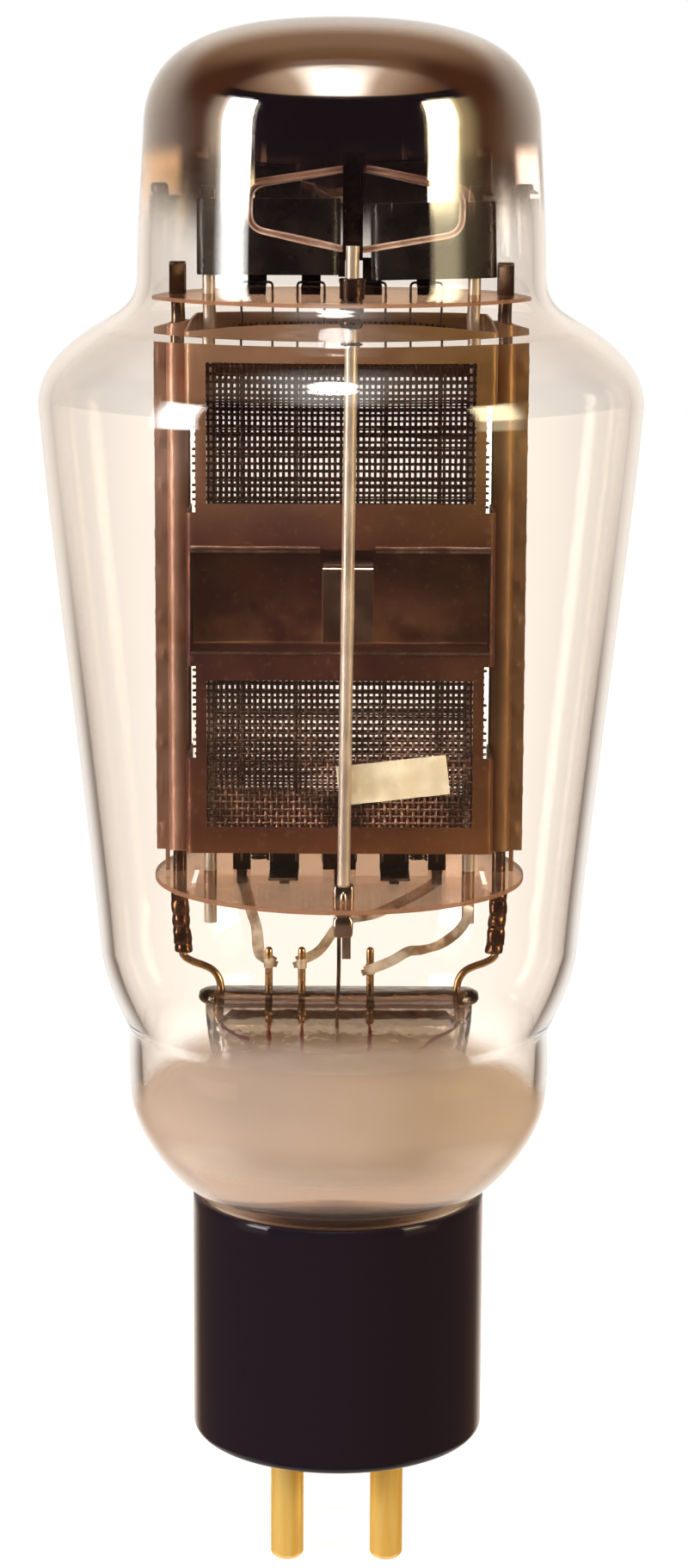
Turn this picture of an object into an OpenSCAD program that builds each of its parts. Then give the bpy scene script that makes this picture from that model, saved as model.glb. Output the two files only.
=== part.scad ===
// Directly heated power triode with a glass envelope and a four-pin base.
// Millimetres. The origin is the centre of the base's seating face, +Z runs up the tube, and the
// front of the tube, with the two thick pins and the tag, looks along -Y.

/* [Base] */
// Outer diameter of the base shell
base_d = 34.7; // [34:0.1:38]
// Height of the base shell above its seating face
base_h = 29.8; // [26:0.1:34]
// Wall of the base shell
base_wall = 1.6; // [1.2:0.1:2]
// Floor of the base shell, which holds the pins
base_floor = 3; // [2:0.1:4]
// Rounding of the base's lower edge
base_edge_r = 1.2; // [0.6:0.1:1.6]
// Cement layer between the glass neck and the shell
cement_t = 0.85; // [0.6:0.05:1.2]
// Diameter of the bayonet locating pin
bayonet_d = 2.4; // [2:0.1:3]
// How far the bayonet pin stands out of the shell
bayonet_reach = 1.9; // [1:0.1:2.2]
// Height of the bayonet pin above the seating face
bayonet_z = 9.5; // [7:0.1:12]

/* [Pins] */
// Pin spacing across the tube
pin_spacing_x = 11.89; // [11:0.01:13]
// Pin spacing from front to back
pin_spacing_y = 11.1; // [10.5:0.01:12.5]
// Diameter of the two filament pins at the front
thick_pin_d = 3.96; // [3.6:0.01:4.2]
// Diameter of the grid and anode pins at the back
thin_pin_d = 3.18; // [2.9:0.01:3.4]
// Length of the pins below the seating face
pin_len = 14.7; // [12:0.1:17]
// Wall of the hollow pins
pin_wall = 0.55; // [0.4:0.05:0.7]
// How much thicker a pin's root is where the base holds it, in radius
root_step = 0.4; // [0.3:0.05:0.6]

/* [Bulb] */
// Overall height of the tube, from the pin tips to the glass top
overall_h = 181.6; // [172:0.1:195]
// Largest diameter of the bulb, at the shoulder
bulb_d = 69.4; // [62:0.1:76]
// Diameter at the foot of the long taper
taper_d = 56.4; // [54:0.1:60]
// Diameter at the crease above the bowl
crease_d = 50; // [47:0.1:53]
// Glass wall
glass_t = 1.5; // [1.2:0.1:2]
// Height of the bowl from the base rim to the crease
bowl_h = 20.8; // [19:0.1:23]
// Height of the flare-out from the crease to the taper
flare_out_h = 10; // [8:0.1:12]
// Distance from the upper mica down to the largest diameter
shoulder_drop = 11.5; // [10:0.1:14]
// How much narrower the neck gets on its way to the dome, in diameter
neck_taper = 1.5; // [0.5:0.1:2.5]
// Height of the domed top
dome_h = 12.4; // [11:0.1:15]
// Room between the highest inner piece and the foot of the dome
dome_room = 3.8; // [2:0.1:6]
// Gap between the mica's edge and the narrowest glass
mica_gap = 0.15; // [0.05:0.05:0.5]

/* [Stem] */
// Width of the flat press that holds the leads
press_w = 33.5; // [31:0.1:36]
// Depth of the press from front to back
press_depth = 6.2; // [5.6:0.1:8]
// Height of the press
press_h = 2.4; // [2:0.1:4]
// Height of the top of the press above the crease
press_rise = 3.7; // [3:0.1:6]
// Gap between the round stem tube and the glass neck around it
stem_gap = 1.1; // [0.8:0.1:2]
// Wall of the stem tube
stem_wall = 1.2; // [0.9:0.1:1.5]

/* [Micas] */
// Mica left outside the middle of a support post
mica_edge = 2.85; // [2.2:0.05:3.4]
// Thickness of a mica disc
mica_t = 0.5; // [0.4:0.05:0.8]
// Height of the lower mica above the press
lead_h = 14; // [12:0.1:17]

/* [Anode] */
// Gap between the lower mica and the anode
anode_foot_gap = 4; // [3.4:0.1:5]
// Gap between the anode and the upper mica
anode_head_gap = 4; // [3.4:0.1:5]
// Thickness of the anode sheet
sheet_t = 0.3; // [0.25:0.05:0.4]
// Distance of the front face from the middle plane
face_depth = 9.5; // [8:0.1:11]
// Width of the front face
face_w = 34.6; // [31:0.1:38]
// Width of the flange outside each post channel
flange_w = 1.4; // [1:0.05:2]
// How far the flanges and channels reach below the face
flange_drop = 1.5; // [0.5:0.1:2.5]
// Sheet left beside the mesh windows
window_side = 2.2; // [2:0.1:3]
// How much taller the lower mesh window is than the upper one
window_step = 1; // [0:0.1:3]
// Sheet left above the upper window
upper_border = 2.2; // [2:0.05:4]
// Sheet left below the lower window
lower_border = 3.05; // [2:0.05:4]
// Sheet between the upper window and the waist
upper_band = 5.2; // [3:0.1:7]
// Sheet between the waist and the lower window
lower_band = 3.05; // [2:0.05:5]
// Height of the recessed waist
waist_h = 11.9; // [10:0.1:13]
// Depth of the waist's recess behind the face
waist_depth = 6; // [4:0.1:6.4]
// Height of the window's side above its slot
slot_margin = 3.4; // [2:0.1:6]
// Distance between the spot welds on the flanges
weld_pitch = 7.6; // [6:0.1:12]

/* [Mesh] */
// Thickness of the woven mesh
mesh_t = 0.3; // [0.2:0.05:0.5]
// Width of one mesh rib
mesh_rib = 0.5; // [0.3:0.05:0.7]
// Number of gaps across a window
mesh_columns = 16; // [10:1:17]
// Number of gaps up a window
mesh_rows = 7; // [5:1:7]
// How far the mesh reaches behind the frame
mesh_lap = 1.3; // [0.8:0.1:1.4]

/* [Posts and grid] */
// Distance from the edge of the front face out to the middle of a support post
post_offset = 1.5; // [1.4:0.05:2]
// Diameter of a support post
post_d = 1.6; // [1.2:0.1:1.7]
// Distance from the edge of the front face in to the middle of a grid rod
grid_inset = 2.1; // [1.9:0.1:3]
// Diameter of a grid rod
grid_rod_d = 1.5; // [1.2:0.1:1.6]
// Diameter of the grid wire
grid_wire_d = 0.25; // [0.15:0.05:0.3]
// Distance between the turns of the grid
grid_pitch = 1.9; // [1.4:0.1:3]
// Height of the cooling fins
fin_h = 8.6; // [6:0.1:10]
// Depth of a cooling fin from front to back
fin_depth = 2.6; // [2.4:0.1:3]
// Gap between the upper mica and the left fin
fin_gap = 2.4; // [2.3:0.1:3.5]

/* [Filament] */
// Spacing of the two outer hairpins about the middle
outer_hairpin_spacing = 19.4; // [18:0.1:20]
// Spacing of the two inner hairpins about the middle
inner_hairpin_spacing = 7; // [6.4:0.1:7.6]
// Width of an outer hairpin
outer_hairpin_w = 3.6; // [3:0.1:4]
// Width of an inner hairpin
inner_hairpin_w = 3.1; // [2.9:0.1:3.3]
// Diameter of the filament wire
filament_d = 0.28; // [0.2:0.02:0.4]
// Height of the filament hooks over the mica
hook_h = 1.3; // [1:0.1:1.5]

/* [Centre rod and getter] */
// Distance of the centre rod in front of the middle plane
rod_depth = 14.5; // [13.9:0.1:15.5]
// Diameter of the centre rod
rod_d = 1.46; // [1.2:0.02:1.8]
// Length of the getter loop
getter_w = 24; // [20:0.1:26]
// Height of the getter loop at its middle
getter_h = 9.8; // [8:0.1:11]
// Height of the getter loop's short sides
getter_side_h = 4.6; // [3:0.1:6]
// Thickness of the getter wire
getter_wire_d = 0.7; // [0.5:0.1:1]
// Height of the getter loop's lowest point above the upper mica
getter_rise = 5.2; // [4:0.1:6]
// Length of the tag
tag_w = 12.4; // [8:0.1:14]
// Height of the tag
tag_h = 4.5; // [3:0.1:6]

/* [Leads] */
// Diameter of the stiff lead wires
lead_d = 0.9; // [0.7:0.05:1.1]
// Diameter of the thin wires that pass through the glass
seal_wire_d = 0.45; // [0.3:0.05:0.5]
// Distance of the support leads from the ends of the press
support_inset = 2.75; // [2.2:0.05:4]
// Place of the left filament lead along the press
left_lead_x = -8.3; // [-9:0.1:-7.5]
// Place of the right filament lead along the press
right_lead_x = -4.4; // [-5:0.1:-4]
// Place of the grid lead along the press
grid_lead_x = 3.7; // [3.5:0.1:5]
// Height of the lead stubs above the press
stub_h = 5.2; // [4:0.1:7]
// Height of the foot of the post sleeves above the press
sleeve_rise = 4.6; // [4.2:0.1:6]
// How far the stiff leads stand out below the press
lead_drop = 1.6; // [0.4:0.1:2]
// Width of the connecting ribbons
ribbon_w = 1.1; // [0.8:0.1:1.5]
// Thickness of the connecting ribbons
ribbon_t = 0.16; // [0.1:0.02:0.3]

/* [Hidden] */

$fn = 48;
fit = 0.02;       // clearance of a piece pressed or cast into another
slip = 0.1;       // clearance of a piece that slides through a hole
curve_steps = 9;  // straight steps in one curved stretch of an outline

// Widths, from the front face out to the glass.
post_spacing = face_w + 2 * post_offset;
grid_spacing = face_w - 2 * grid_inset;
window_w = face_w - 2 * window_side;
mica_d = post_spacing + 2 * mica_edge;
support_lead_x = press_w / 2 - support_inset;

// Heights, stacked from the seating face up to the anode's foot, and from the dome down to its
// head. The anode and its windows fill what is left between them.
rim_gap = 0.3;
crease_z = base_h + bowl_h;
press_top = crease_z + press_rise;
press_foot = press_top - press_h;
mica_lower_z = press_top + lead_h;
anode_z = mica_lower_z + mica_t + anode_foot_gap;
dome_z = overall_h - pin_len - dome_h;
rod_over = 1;     // how far the grid rods stand out of their fins
mica_upper_top = dome_z - dome_room - max(getter_rise + getter_h, fin_gap + fin_h + rod_over);
mica_upper_z = mica_upper_top - mica_t;
anode_top = mica_upper_z - anode_head_gap;
fin_z = mica_upper_top + fin_gap;
fin_drop = 0.4;   // the right fin sits this much lower than the left one
fin_tilt = 1.5;   // and rises to the right by this angle
grid_rod_top = fin_z + fin_h + rod_over;
getter_z = mica_upper_top + getter_rise;
getter_top = getter_z + getter_h;
windows_h = anode_top - anode_z - waist_h - upper_border - lower_border - upper_band - lower_band;
upper_window_h = (windows_h - window_step) / 2;
lower_window_h = upper_window_h + window_step;
waist_z = anode_z + lower_border + lower_window_h + lower_band;
waist_top = waist_z + waist_h;

// Glass stations.
seal_r = base_d / 2 - base_wall - cement_t;
seal_rise = 9;    // height of the glass seal above the base's floor
seal_z = base_floor + seal_rise;
neck_r = mica_d / 2 + mica_gap + glass_t;
neck_z = mica_upper_top + 2.5;
dome_r = neck_r - neck_taper / 2;
bulb_z = mica_upper_z - shoulder_drop;
taper_z = crease_z + flare_out_h;
rim_r = base_d / 2 - 1;
stem_r = seal_r - glass_t - stem_gap;
cement_rise = 1;  // the cement starts this far above the seal
cement_drop = 4.4; // and ends this far below the rim of the base

// Places across the tube.
post_x = post_spacing / 2;
grid_x = grid_spacing / 2;
channel_r = post_d / 2 + 0.2;                 // inner radius of the post channel
face_x = face_w / 2;
face_in = face_depth - sheet_t / 2;           // inner side of the front face
recess_y = face_depth - waist_depth;          // middle of the waist's back wall
upper_window_z = anode_top - upper_border - upper_window_h;
lower_window_z = anode_z + lower_border;
slot_rise = 1.2;                              // side slots start this far above the window's foot
slot_h = upper_window_h - slot_rise - slot_margin;
pin_x = pin_spacing_x / 2;
pin_y = pin_spacing_y / 2;
collar_r = rod_d / 2 + 0.45;
collar_rise = 2.7;                            // height of the collar above the upper mica
bracket_x = 0.85;
bracket_w = 5.7;
bracket_gap = 0.03;

// Points of a cubic curve from a to d, drawn towards b and c.
function curve(a, b, c, d, n = curve_steps) =
    [for (i = [0:n]) let (t = i / n, s = 1 - t)
        s * s * s * a + 3 * s * s * t * b + 3 * s * t * t * c + t * t * t * d];
function tail(p) = [for (i = [1:len(p) - 1]) p[i]];
function reversed(p) = [for (i = [len(p) - 1:-1:0]) p[i]];
function unit(v) = v / norm(v);
function direction(p, i) = unit(p[min(i + 1, len(p) - 1)] - p[max(i - 1, 0)]);

// The line p moved sideways by d, to the right of its direction.
function beside(p, d) = [for (i = [0:len(p) - 1])
    let (a = unit(p[max(i, 1)] - p[max(i, 1) - 1]),
        b = unit(p[min(i + 1, len(p) - 1)] - p[min(i, len(p) - 2)]),
        m = [a.y, -a.x] + [b.y, -b.x])
    p[i] + m * d * 2 / (m * m)];

// Closed outline of a sheet of thickness t along the line p.
function sheet_outline(p, t) = concat(beside(p, t / 2), reversed(beside(p, -t / 2)));

// Outer outline of the glass, as radius and height, from the top down.
function glass_outline() = concat(
    curve([0, dome_z + dome_h], [dome_r * 0.62, dome_z + dome_h],
        [dome_r * 0.993, dome_z + dome_h * 0.77], [dome_r, dome_z], 14),
    curve([neck_r, neck_z], [neck_r + 0.15, neck_z - 3.3],
        [neck_r + 1.6, neck_z - 4.1], [neck_r + 4.9, neck_z - 5.9]),
    tail(curve([neck_r + 4.9, neck_z - 5.9], [neck_r + 7.9, neck_z - 7.9],
        [bulb_d / 2 - 0.2, bulb_z + 4.2], [bulb_d / 2, bulb_z])),
    tail(curve([bulb_d / 2, bulb_z], [bulb_d / 2 - 0.35, bulb_z - 8.8],
        [taper_d / 2 + 1, taper_z + 13.5], [taper_d / 2, taper_z])),
    tail(curve([taper_d / 2, taper_z], [taper_d / 2 - 0.2, taper_z - 3],
        [crease_d / 2 + 1.9, crease_z + 3.7], [crease_d / 2, crease_z])),
    tail(curve([crease_d / 2, crease_z], [crease_d / 2 - 0.5, crease_z - 1.4],
        [crease_d / 2 + 0.2, crease_z - 4], [crease_d / 2 - 0.4, crease_z - 9.2])),
    tail(curve([crease_d / 2 - 0.4, crease_z - 9.2], [crease_d / 2 - 1, base_h + 7.6],
        [rim_r + 4.3, base_h + 3.2], [rim_r + 0.65, base_h + 0.4])),
    tail(curve([rim_r + 0.65, base_h + 0.4], [seal_r + 0.7, base_h - 0.7],
        [seal_r, base_h - 2.2], [seal_r, base_h - 4.3])),
    [[seal_r, seal_z]]);

// A round wire of diameter d along the points p.
module wire(p, d, sides = 8, closed = false) {
    n = len(p);
    rings = [for (i = [0:n - 1])
        let (t = closed ? unit(p[(i + 1) % n] - p[(i + n - 1) % n]) : direction(p, i),
            side = abs(t.y) > 0.9 ? [1, 0, 0] : [0, 1, 0],
            u = unit(cross(t, side)),
            v = cross(t, u))
        [for (k = [0:sides - 1])
            p[i] + d / 2 * (cos(360 * k / sides) * u + sin(360 * k / sides) * v)]];
    spans = closed ? n : n - 1;
    walls = [for (i = [0:spans - 1], k = [0:sides - 1])
        let (a = i * sides, b = ((i + 1) % n) * sides, m = (k + 1) % sides)
        [a + k, b + k, b + m, a + m]];
    ends = closed ? [] : [[for (k = [0:sides - 1]) k],
        [for (k = [sides - 1:-1:0]) (n - 1) * sides + k]];
    polyhedron([for (r = rings, q = r) q], concat(walls, ends));
}

// A flat ribbon along the points p, standing on edge so that its width runs up the tube.
module ribbon(p, w, t) {
    n = len(p);
    corners = [for (i = [0:n - 1])
        let (d = direction(p, i), flat = unit(cross(d, [0, 1, 0])), thick = unit(cross(d, flat)))
        for (c = [[-1, -1], [1, -1], [1, 1], [-1, 1]])
            p[i] + c.x * w / 2 * flat + c.y * t / 2 * thick];
    walls = [for (i = [0:n - 2], k = [0:3])
        let (a = i * 4, b = a + 4, m = (k + 1) % 4) [a + k, b + k, b + m, a + m]];
    polyhedron(corners, concat(walls, [[0, 1, 2, 3],
        [for (k = [3:-1:0]) (n - 1) * 4 + k]]));
}

// A bent sheet whose bends show from above: p holds points in X and Y.
module upright_sheet(p, t, h) {
    linear_extrude(h) polygon(sheet_outline(p, t));
}

// A bent sheet whose bends show from the side: p holds depth and height, the width runs along X.
module side_sheet(p, t, w) {
    rotate([90, 0, 90]) translate([0, 0, -w / 2]) linear_extrude(w) polygon(sheet_outline(p, t));
}

// A flattened round outline, w wide and d deep.
module racetrack(w, d) {
    square([w - d, d], center = true);
    for (s = [-1, 1]) translate([s * (w - d) / 2, 0]) circle(d / 2);
}

module tube(h, outer_r, inner_r) {
    difference() {
        cylinder(h = h, r = outer_r);
        translate([0, 0, -1]) cylinder(h = h + 2, r = inner_r);
    }
}

module envelope() {
    outer = glass_outline();
    color([0.9, 0.9, 0.86, 0.3])
        rotate_extrude($fn = 96)
            polygon(concat(outer, reversed([for (p = beside(outer, glass_t)) [max(0, p.x), p.y]])));
}

// Half width and half depth of the stem tube at a height between the press and its round part.
stem_blend_top = press_foot + 0.5;
stem_round_z = base_h + 1;
function stem_half(z) =
    let (u = (stem_blend_top - z) / (stem_blend_top - stem_round_z), s = u * u * (3 - 2 * u),
        flat = [press_w / 2 - 0.8, press_depth / 2 - 0.5])
    flat + ([stem_r, stem_r] - flat) * s;

// Stem tube from the press down: flattened at the top, round below, flared out to the neck.
module stem_tube() {
    side = 16;
    count = 2 * (side + 1);
    flare_z = seal_z + 3;
    rim_t = 1.5;
    r = stem_r;
    lip_r = seal_r - glass_t - slip / 2;
    blend = [for (i = [0:8]) let (z = stem_blend_top + (stem_round_z - stem_blend_top) * i / 8,
            h = stem_half(z)) [h.x, h.y, z]];
    outside = concat(blend, [[r, r, flare_z], [r + 0.3, r + 0.3, seal_z + 1],
        [lip_r, lip_r, seal_z], [seal_r, seal_r, seal_z]]);
    inner_r = r - stem_wall;
    inside = concat([[seal_r, seal_r, seal_z - rim_t],
        [inner_r + 0.9, inner_r + 0.9, seal_z - 0.6], [inner_r, inner_r, flare_z]],
        reversed([for (q = blend) [q.x - stem_wall, q.y - stem_wall, q.z]]));
    rings = concat(outside, inside);
    n = len(rings);
    points = [for (q = rings, s = [-1, 1], i = [0:side])
        let (t = 180 * i / side + (s < 0 ? 90 : -90))
        [s * (q.x - q.y) + q.y * cos(t), q.y * sin(t), q.z]];
    polyhedron(points, [for (i = [0:n - 1], k = [0:count - 1])
        let (a = i * count, b = ((i + 1) % n) * count, m = (k + 1) % count)
        [a + k, a + m, b + m, b + k]]);
}

module stem() {
    edge = 0.9;
    lead_r = lead_d / 2 + fit;
    color([0.9, 0.9, 0.86, 0.4]) difference() {
        union() {
            hull($fn = 32) {
                translate([0, 0, press_foot + edge]) linear_extrude(press_h - 2 * edge)
                    racetrack(press_w, press_depth);
                translate([0, 0, press_foot]) linear_extrude(press_h)
                    racetrack(press_w - 2 * edge, press_depth - 2 * edge);
            }
            stem_tube();
        }
        for (x = [-support_lead_x, left_lead_x, right_lead_x, grid_lead_x, support_lead_x])
            translate([x, 0, press_foot - 2]) cylinder(h = press_h + 4, r = lead_r);
    }
}

module base_shell() {
    r = base_d / 2;
    inner_r = r - base_wall;
    edge = [for (a = [0:15:90]) [r - base_edge_r * (1 - sin(a)), base_edge_r * (1 - cos(a))]];
    color([0.08, 0.07, 0.07]) difference() {
        rotate_extrude($fn = 96) polygon(concat([[0, 0]], edge,
            [[r, base_h - 0.3], [r - 0.25, base_h], [rim_r + rim_gap, base_h],
            [inner_r, base_h - 3.2], [inner_r, base_floor], [0, base_floor]]));
        for (sx = [-1, 1]) {
            translate([sx * pin_x, -pin_y, -1])
                cylinder(h = base_floor + 2, r = thick_pin_d / 2 + root_step + fit);
            translate([sx * pin_x, pin_y, -1])
                cylinder(h = base_floor + 2, r = thin_pin_d / 2 + root_step + fit);
        }
        translate([0, r + 1, bayonet_z]) rotate([90, 0, 0])
            cylinder(h = base_wall + 2, r = bayonet_d / 2 + root_step + fit);
    }
}

module base_cement() {
    color([0.75, 0.7, 0.6]) translate([0, 0, seal_z + cement_rise])
        tube(base_h - cement_drop - seal_z - cement_rise, seal_r + cement_t - fit,
            seal_r + slip / 2);
}

// Hollow pin with a rounded tip below, a thicker root and a riveted flange inside the base.
module contact_pin(d, x, y) {
    r = d / 2;
    tip = r * 0.45;
    bore = r - pin_wall;
    root = r + root_step;
    round_tip = [for (a = [0:15:90]) [r - tip * (1 - sin(a)), -pin_len + tip * (1 - cos(a))]];
    color([0.9, 0.72, 0.35]) translate([x, y, 0]) rotate_extrude()
        polygon(concat([[0, -pin_len]], round_tip,
            [[r, 0], [root, 0], [root, base_floor + fit],
            [root + 0.5, base_floor + fit], [root + 0.5, base_floor + 0.8],
            [bore, base_floor + 0.8], [bore, -pin_len + 2], [0, -pin_len + 2]]));
}
module filament_pin_left() { contact_pin(thick_pin_d, -pin_x, -pin_y); }
module filament_pin_right() { contact_pin(thick_pin_d, pin_x, -pin_y); }
module grid_pin() { contact_pin(thin_pin_d, -pin_x, pin_y); }
module anode_pin() { contact_pin(thin_pin_d, pin_x, pin_y); }

module bayonet_pin() {
    length = base_wall + bayonet_reach;
    root = bayonet_d / 2 + root_step;
    color([0.85, 0.7, 0.4]) translate([0, base_d / 2 - base_wall, bayonet_z]) rotate([-90, 0, 0])
        rotate_extrude() polygon([[0, 0], [root, 0], [root, base_wall + fit],
            [bayonet_d / 2, base_wall + fit], [bayonet_d / 2, length - 0.3],
            [bayonet_d / 2 - 0.3, length], [0, length]]);
}

// Line of the front half's sheet in plan: flange, half-round post channel, side wall, face.
function half_plan() =
    let (r = channel_r + sheet_t / 2,
        lift = sheet_t / 2,
        start = asin(lift / r),
        bend = 0.6,
        side = concat([[-post_x - channel_r - flange_w - sheet_t, -lift]],
            [for (i = [0:8]) let (a = 180 + start + i * (180 - 2 * start) / 8)
                [-post_x + r * cos(a), r * sin(a)]],
            [[-post_x + r + sheet_t + 0.03, -lift],
            [-face_x, -face_depth + bend], [-face_x + bend, -face_depth]]))
    concat(side, reversed([for (q = side) [-q.x, q.y]]));

module weld_spot(r = 0.5) {
    cylinder(h = 0.12, r1 = r, r2 = r * 0.6, $fn = 24);
}

module anode_half() {
    flange_x = post_x + channel_r + sheet_t + flange_w / 2;
    slot_in = face_x - 0.6;
    slot_w = post_x - channel_r - sheet_t - fit - slot_in;
    hem = 0.35;
    hem_gap = 0.12;
    tray_w = 2 * (face_x - 0.4);
    cut = face_depth + 1;
    color([0.45, 0.28, 0.2]) {
        difference() {
            translate([0, 0, anode_z - flange_drop])
                upright_sheet(half_plan(), sheet_t, anode_top - anode_z + flange_drop);
            translate([-face_x - 1, -cut, anode_z - flange_drop - 1])
                cube([2 * face_x + 2, cut - channel_r - 2 * sheet_t, flange_drop + 1]);
            for (w = [[upper_window_z, upper_window_h], [lower_window_z, lower_window_h]]) {
                translate([-window_w / 2, -cut, w[0]]) cube([window_w, 2, w[1]]);
                for (s = [-1, 1])
                    translate([s * (slot_in + slot_w / 2) - slot_w / 2, -cut, w[0] + slot_rise])
                        cube([slot_w, cut + 1, slot_h]);
            }
            translate([-tray_w / 2, -cut, waist_z]) cube([tray_w, 2, waist_h]);
        }
        difference() {
            side_sheet([[-face_depth - hem, waist_top - sheet_t / 2],
                [-recess_y, waist_top - sheet_t / 2], [-recess_y, waist_z + sheet_t / 2],
                [-face_depth - hem, waist_z + sheet_t / 2]], sheet_t, tray_w);
            translate([bracket_x - bracket_w / 2 - 0.3, -cut, waist_top - 1])
                cube([bracket_w + 0.6, cut - recess_y - 1, 2]);
        }
        for (s = [-1, 1])
            translate([s * (tray_w / 2 + bracket_w / 2 + bracket_x * s + 0.3) / 2,
                    -face_depth - hem / 2, waist_top + hem_gap + sheet_t / 2])
                cube([tray_w / 2 - bracket_w / 2 - bracket_x * s - 0.3, hem + sheet_t,
                    sheet_t], center = true);
        for (s = [-1, 1])
            translate([s * (post_x + channel_r + sheet_t + 0.15) - 0.25, -sheet_t,
                    anode_z - anode_foot_gap])
                cube([0.5, sheet_t, anode_foot_gap + 1]);
        for (s = [-1, 1], z = [anode_z + 2:weld_pitch:anode_top - 1])
            translate([s * flange_x, -sheet_t, z]) rotate([90, 0, 0]) weld_spot();
        for (s = [-1, 1], p = [[15.4, 2], [15.4, 8.6], [7.4, 1.8]])
            translate([s * p.x, -recess_y - sheet_t / 2, waist_z + 0.6 + p.y]) rotate([90, 0, 0])
                weld_spot(0.6);
    }
}
module anode_front() { anode_half(); }
module anode_back() { rotate(180) anode_half(); }

// Woven mesh behind a window: upright ribs in front, level ribs behind, half sunk in each other.
module mesh_panel(window_z, window_h) {
    w = window_w + 2 * mesh_lap;
    h = window_h + 2 * mesh_lap;
    pitch_x = window_w / mesh_columns;
    pitch_z = window_h / mesh_rows;
    half = mesh_t * 0.6;
    color([0.35, 0.27, 0.22]) translate([-w / 2, -face_in, window_z - mesh_lap]) {
        difference() {
            cube([w, mesh_t, h]);
            translate([mesh_lap, -1, mesh_lap]) cube([window_w, mesh_t + 2, window_h]);
        }
        for (i = [0:mesh_columns])
            translate([mesh_lap + i * pitch_x - mesh_rib / 2, 0, 0]) cube([mesh_rib, half, h]);
        for (i = [0:mesh_rows])
            translate([0, mesh_t - half, mesh_lap + i * pitch_z - mesh_rib / 2])
                cube([w, half, mesh_rib]);
    }
}
module mesh_front_upper() { mesh_panel(upper_window_z, upper_window_h); }
module mesh_front_lower() { mesh_panel(lower_window_z, lower_window_h); }
module mesh_back_upper() { rotate(180) mesh_panel(upper_window_z, upper_window_h); }
module mesh_back_lower() { rotate(180) mesh_panel(lower_window_z, lower_window_h); }

// Strip from the waist's back wall forward to the centre rod, then down along the rod.
module waist_bracket() {
    front = rod_depth - rod_d / 2 - bracket_gap - sheet_t / 2;
    back = recess_y + sheet_t;
    top = waist_top - 1.5;
    color([0.5, 0.36, 0.28]) translate([bracket_x, 0, 0])
        side_sheet([[-back, top - 2.2], [-back, top], [-front, top], [-front, waist_z + 2]],
            sheet_t, bracket_w);
}

// Disc with the holes that both micas share; its children are cut out as well.
module mica(z) {
    color([0.85, 0.82, 0.75, 0.5]) translate([0, 0, z]) difference() {
        cylinder(h = mica_t, r = mica_d / 2, $fn = 96);
        translate([0, 0, -1]) {
            for (s = [-1, 1]) {
                translate([s * post_x, 0, 0]) cylinder(h = 3, r = post_d / 2 + slip / 2);
                translate([s * grid_x, 0, 0]) cylinder(h = 3, r = grid_rod_d / 2 + slip / 2);
            }
            children();
        }
    }
}
module mica_upper() {
    mica(mica_upper_z) {
        for (x = strand_xs()) translate([x, 0, 0]) cylinder(h = 3, r = filament_d);
        translate([rod_x(mica_upper_z), -rod_depth, 0]) cylinder(h = 3, r = collar_r + slip / 2);
    }
}
module mica_lower() {
    slit = 0.6;
    mica(mica_lower_z) {
        for (b = bars())
            translate([b[0] - bar_tongue_w / 2 - slip, bar_y - bar_t / 2 - slip, 0])
                cube([bar_tongue_w + 2 * slip, bar_t + 2 * slip, 3]);
        for (s = [-1, 1])
            translate([s * (post_x + grid_x) / 2 - s * 0.2 - slit / 2, -7.5, 0])
                cube([slit, 9.5, 3]);
        translate([rod_x(mica_lower_z), -rod_depth, 0]) cylinder(h = 3, r = clamp_r + slip / 2);
    }
}

post_foot = press_top + sleeve_rise;
module post(s) {
    color([0.5, 0.42, 0.36]) translate([s * post_x, 0, post_foot + 1])
        cylinder(h = mica_upper_top + 3.4 - post_foot - 1, r = post_d / 2);
}
module post_left() { post(-1); }
module post_right() { post(1); }

// Folded strip over the top end of a post, standing on the mica.
module post_cap(s) {
    half = post_d / 2 + sheet_t / 2 + 0.05;
    top = mica_upper_top + 3.6 + sheet_t / 2;
    color([0.5, 0.45, 0.4]) translate([s * post_x, 0, 0])
        side_sheet([[-half, mica_upper_top], [-half, top - 0.3], [-half + 0.3, top],
            [half - 0.3, top], [half, top - 0.3], [half, mica_upper_top]], sheet_t, 1.8);
}
module post_cap_left() { post_cap(-1); }
module post_cap_right() { post_cap(1); }

// Crimped sleeve that joins a post to its lead below the lower mica.
module post_sleeve(s) {
    top = mica_lower_z - 2.2;
    color([0.42, 0.34, 0.28]) translate([s * post_x, 0, post_foot])
        difference() {
            rotate_extrude() polygon([[0, 0], [post_d / 2 + 0.35, 0], [post_d / 2 + 0.25, 1.6],
                [post_d / 2 + 0.3, top - post_foot], [0, top - post_foot]]);
            translate([0, 0, 1 - fit]) cylinder(h = top, r = post_d / 2 + fit);
        }
}
module post_sleeve_left() { post_sleeve(-1); }
module post_sleeve_right() { post_sleeve(1); }

module grid_rod(s) {
    foot = mica_lower_z - 5.8;
    color([0.7, 0.66, 0.6]) translate([s * grid_x, 0, foot])
        cylinder(h = grid_rod_top - foot, r = grid_rod_d / 2);
}
module grid_rod_left() { grid_rod(-1); }
module grid_rod_right() { grid_rod(1); }

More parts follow.
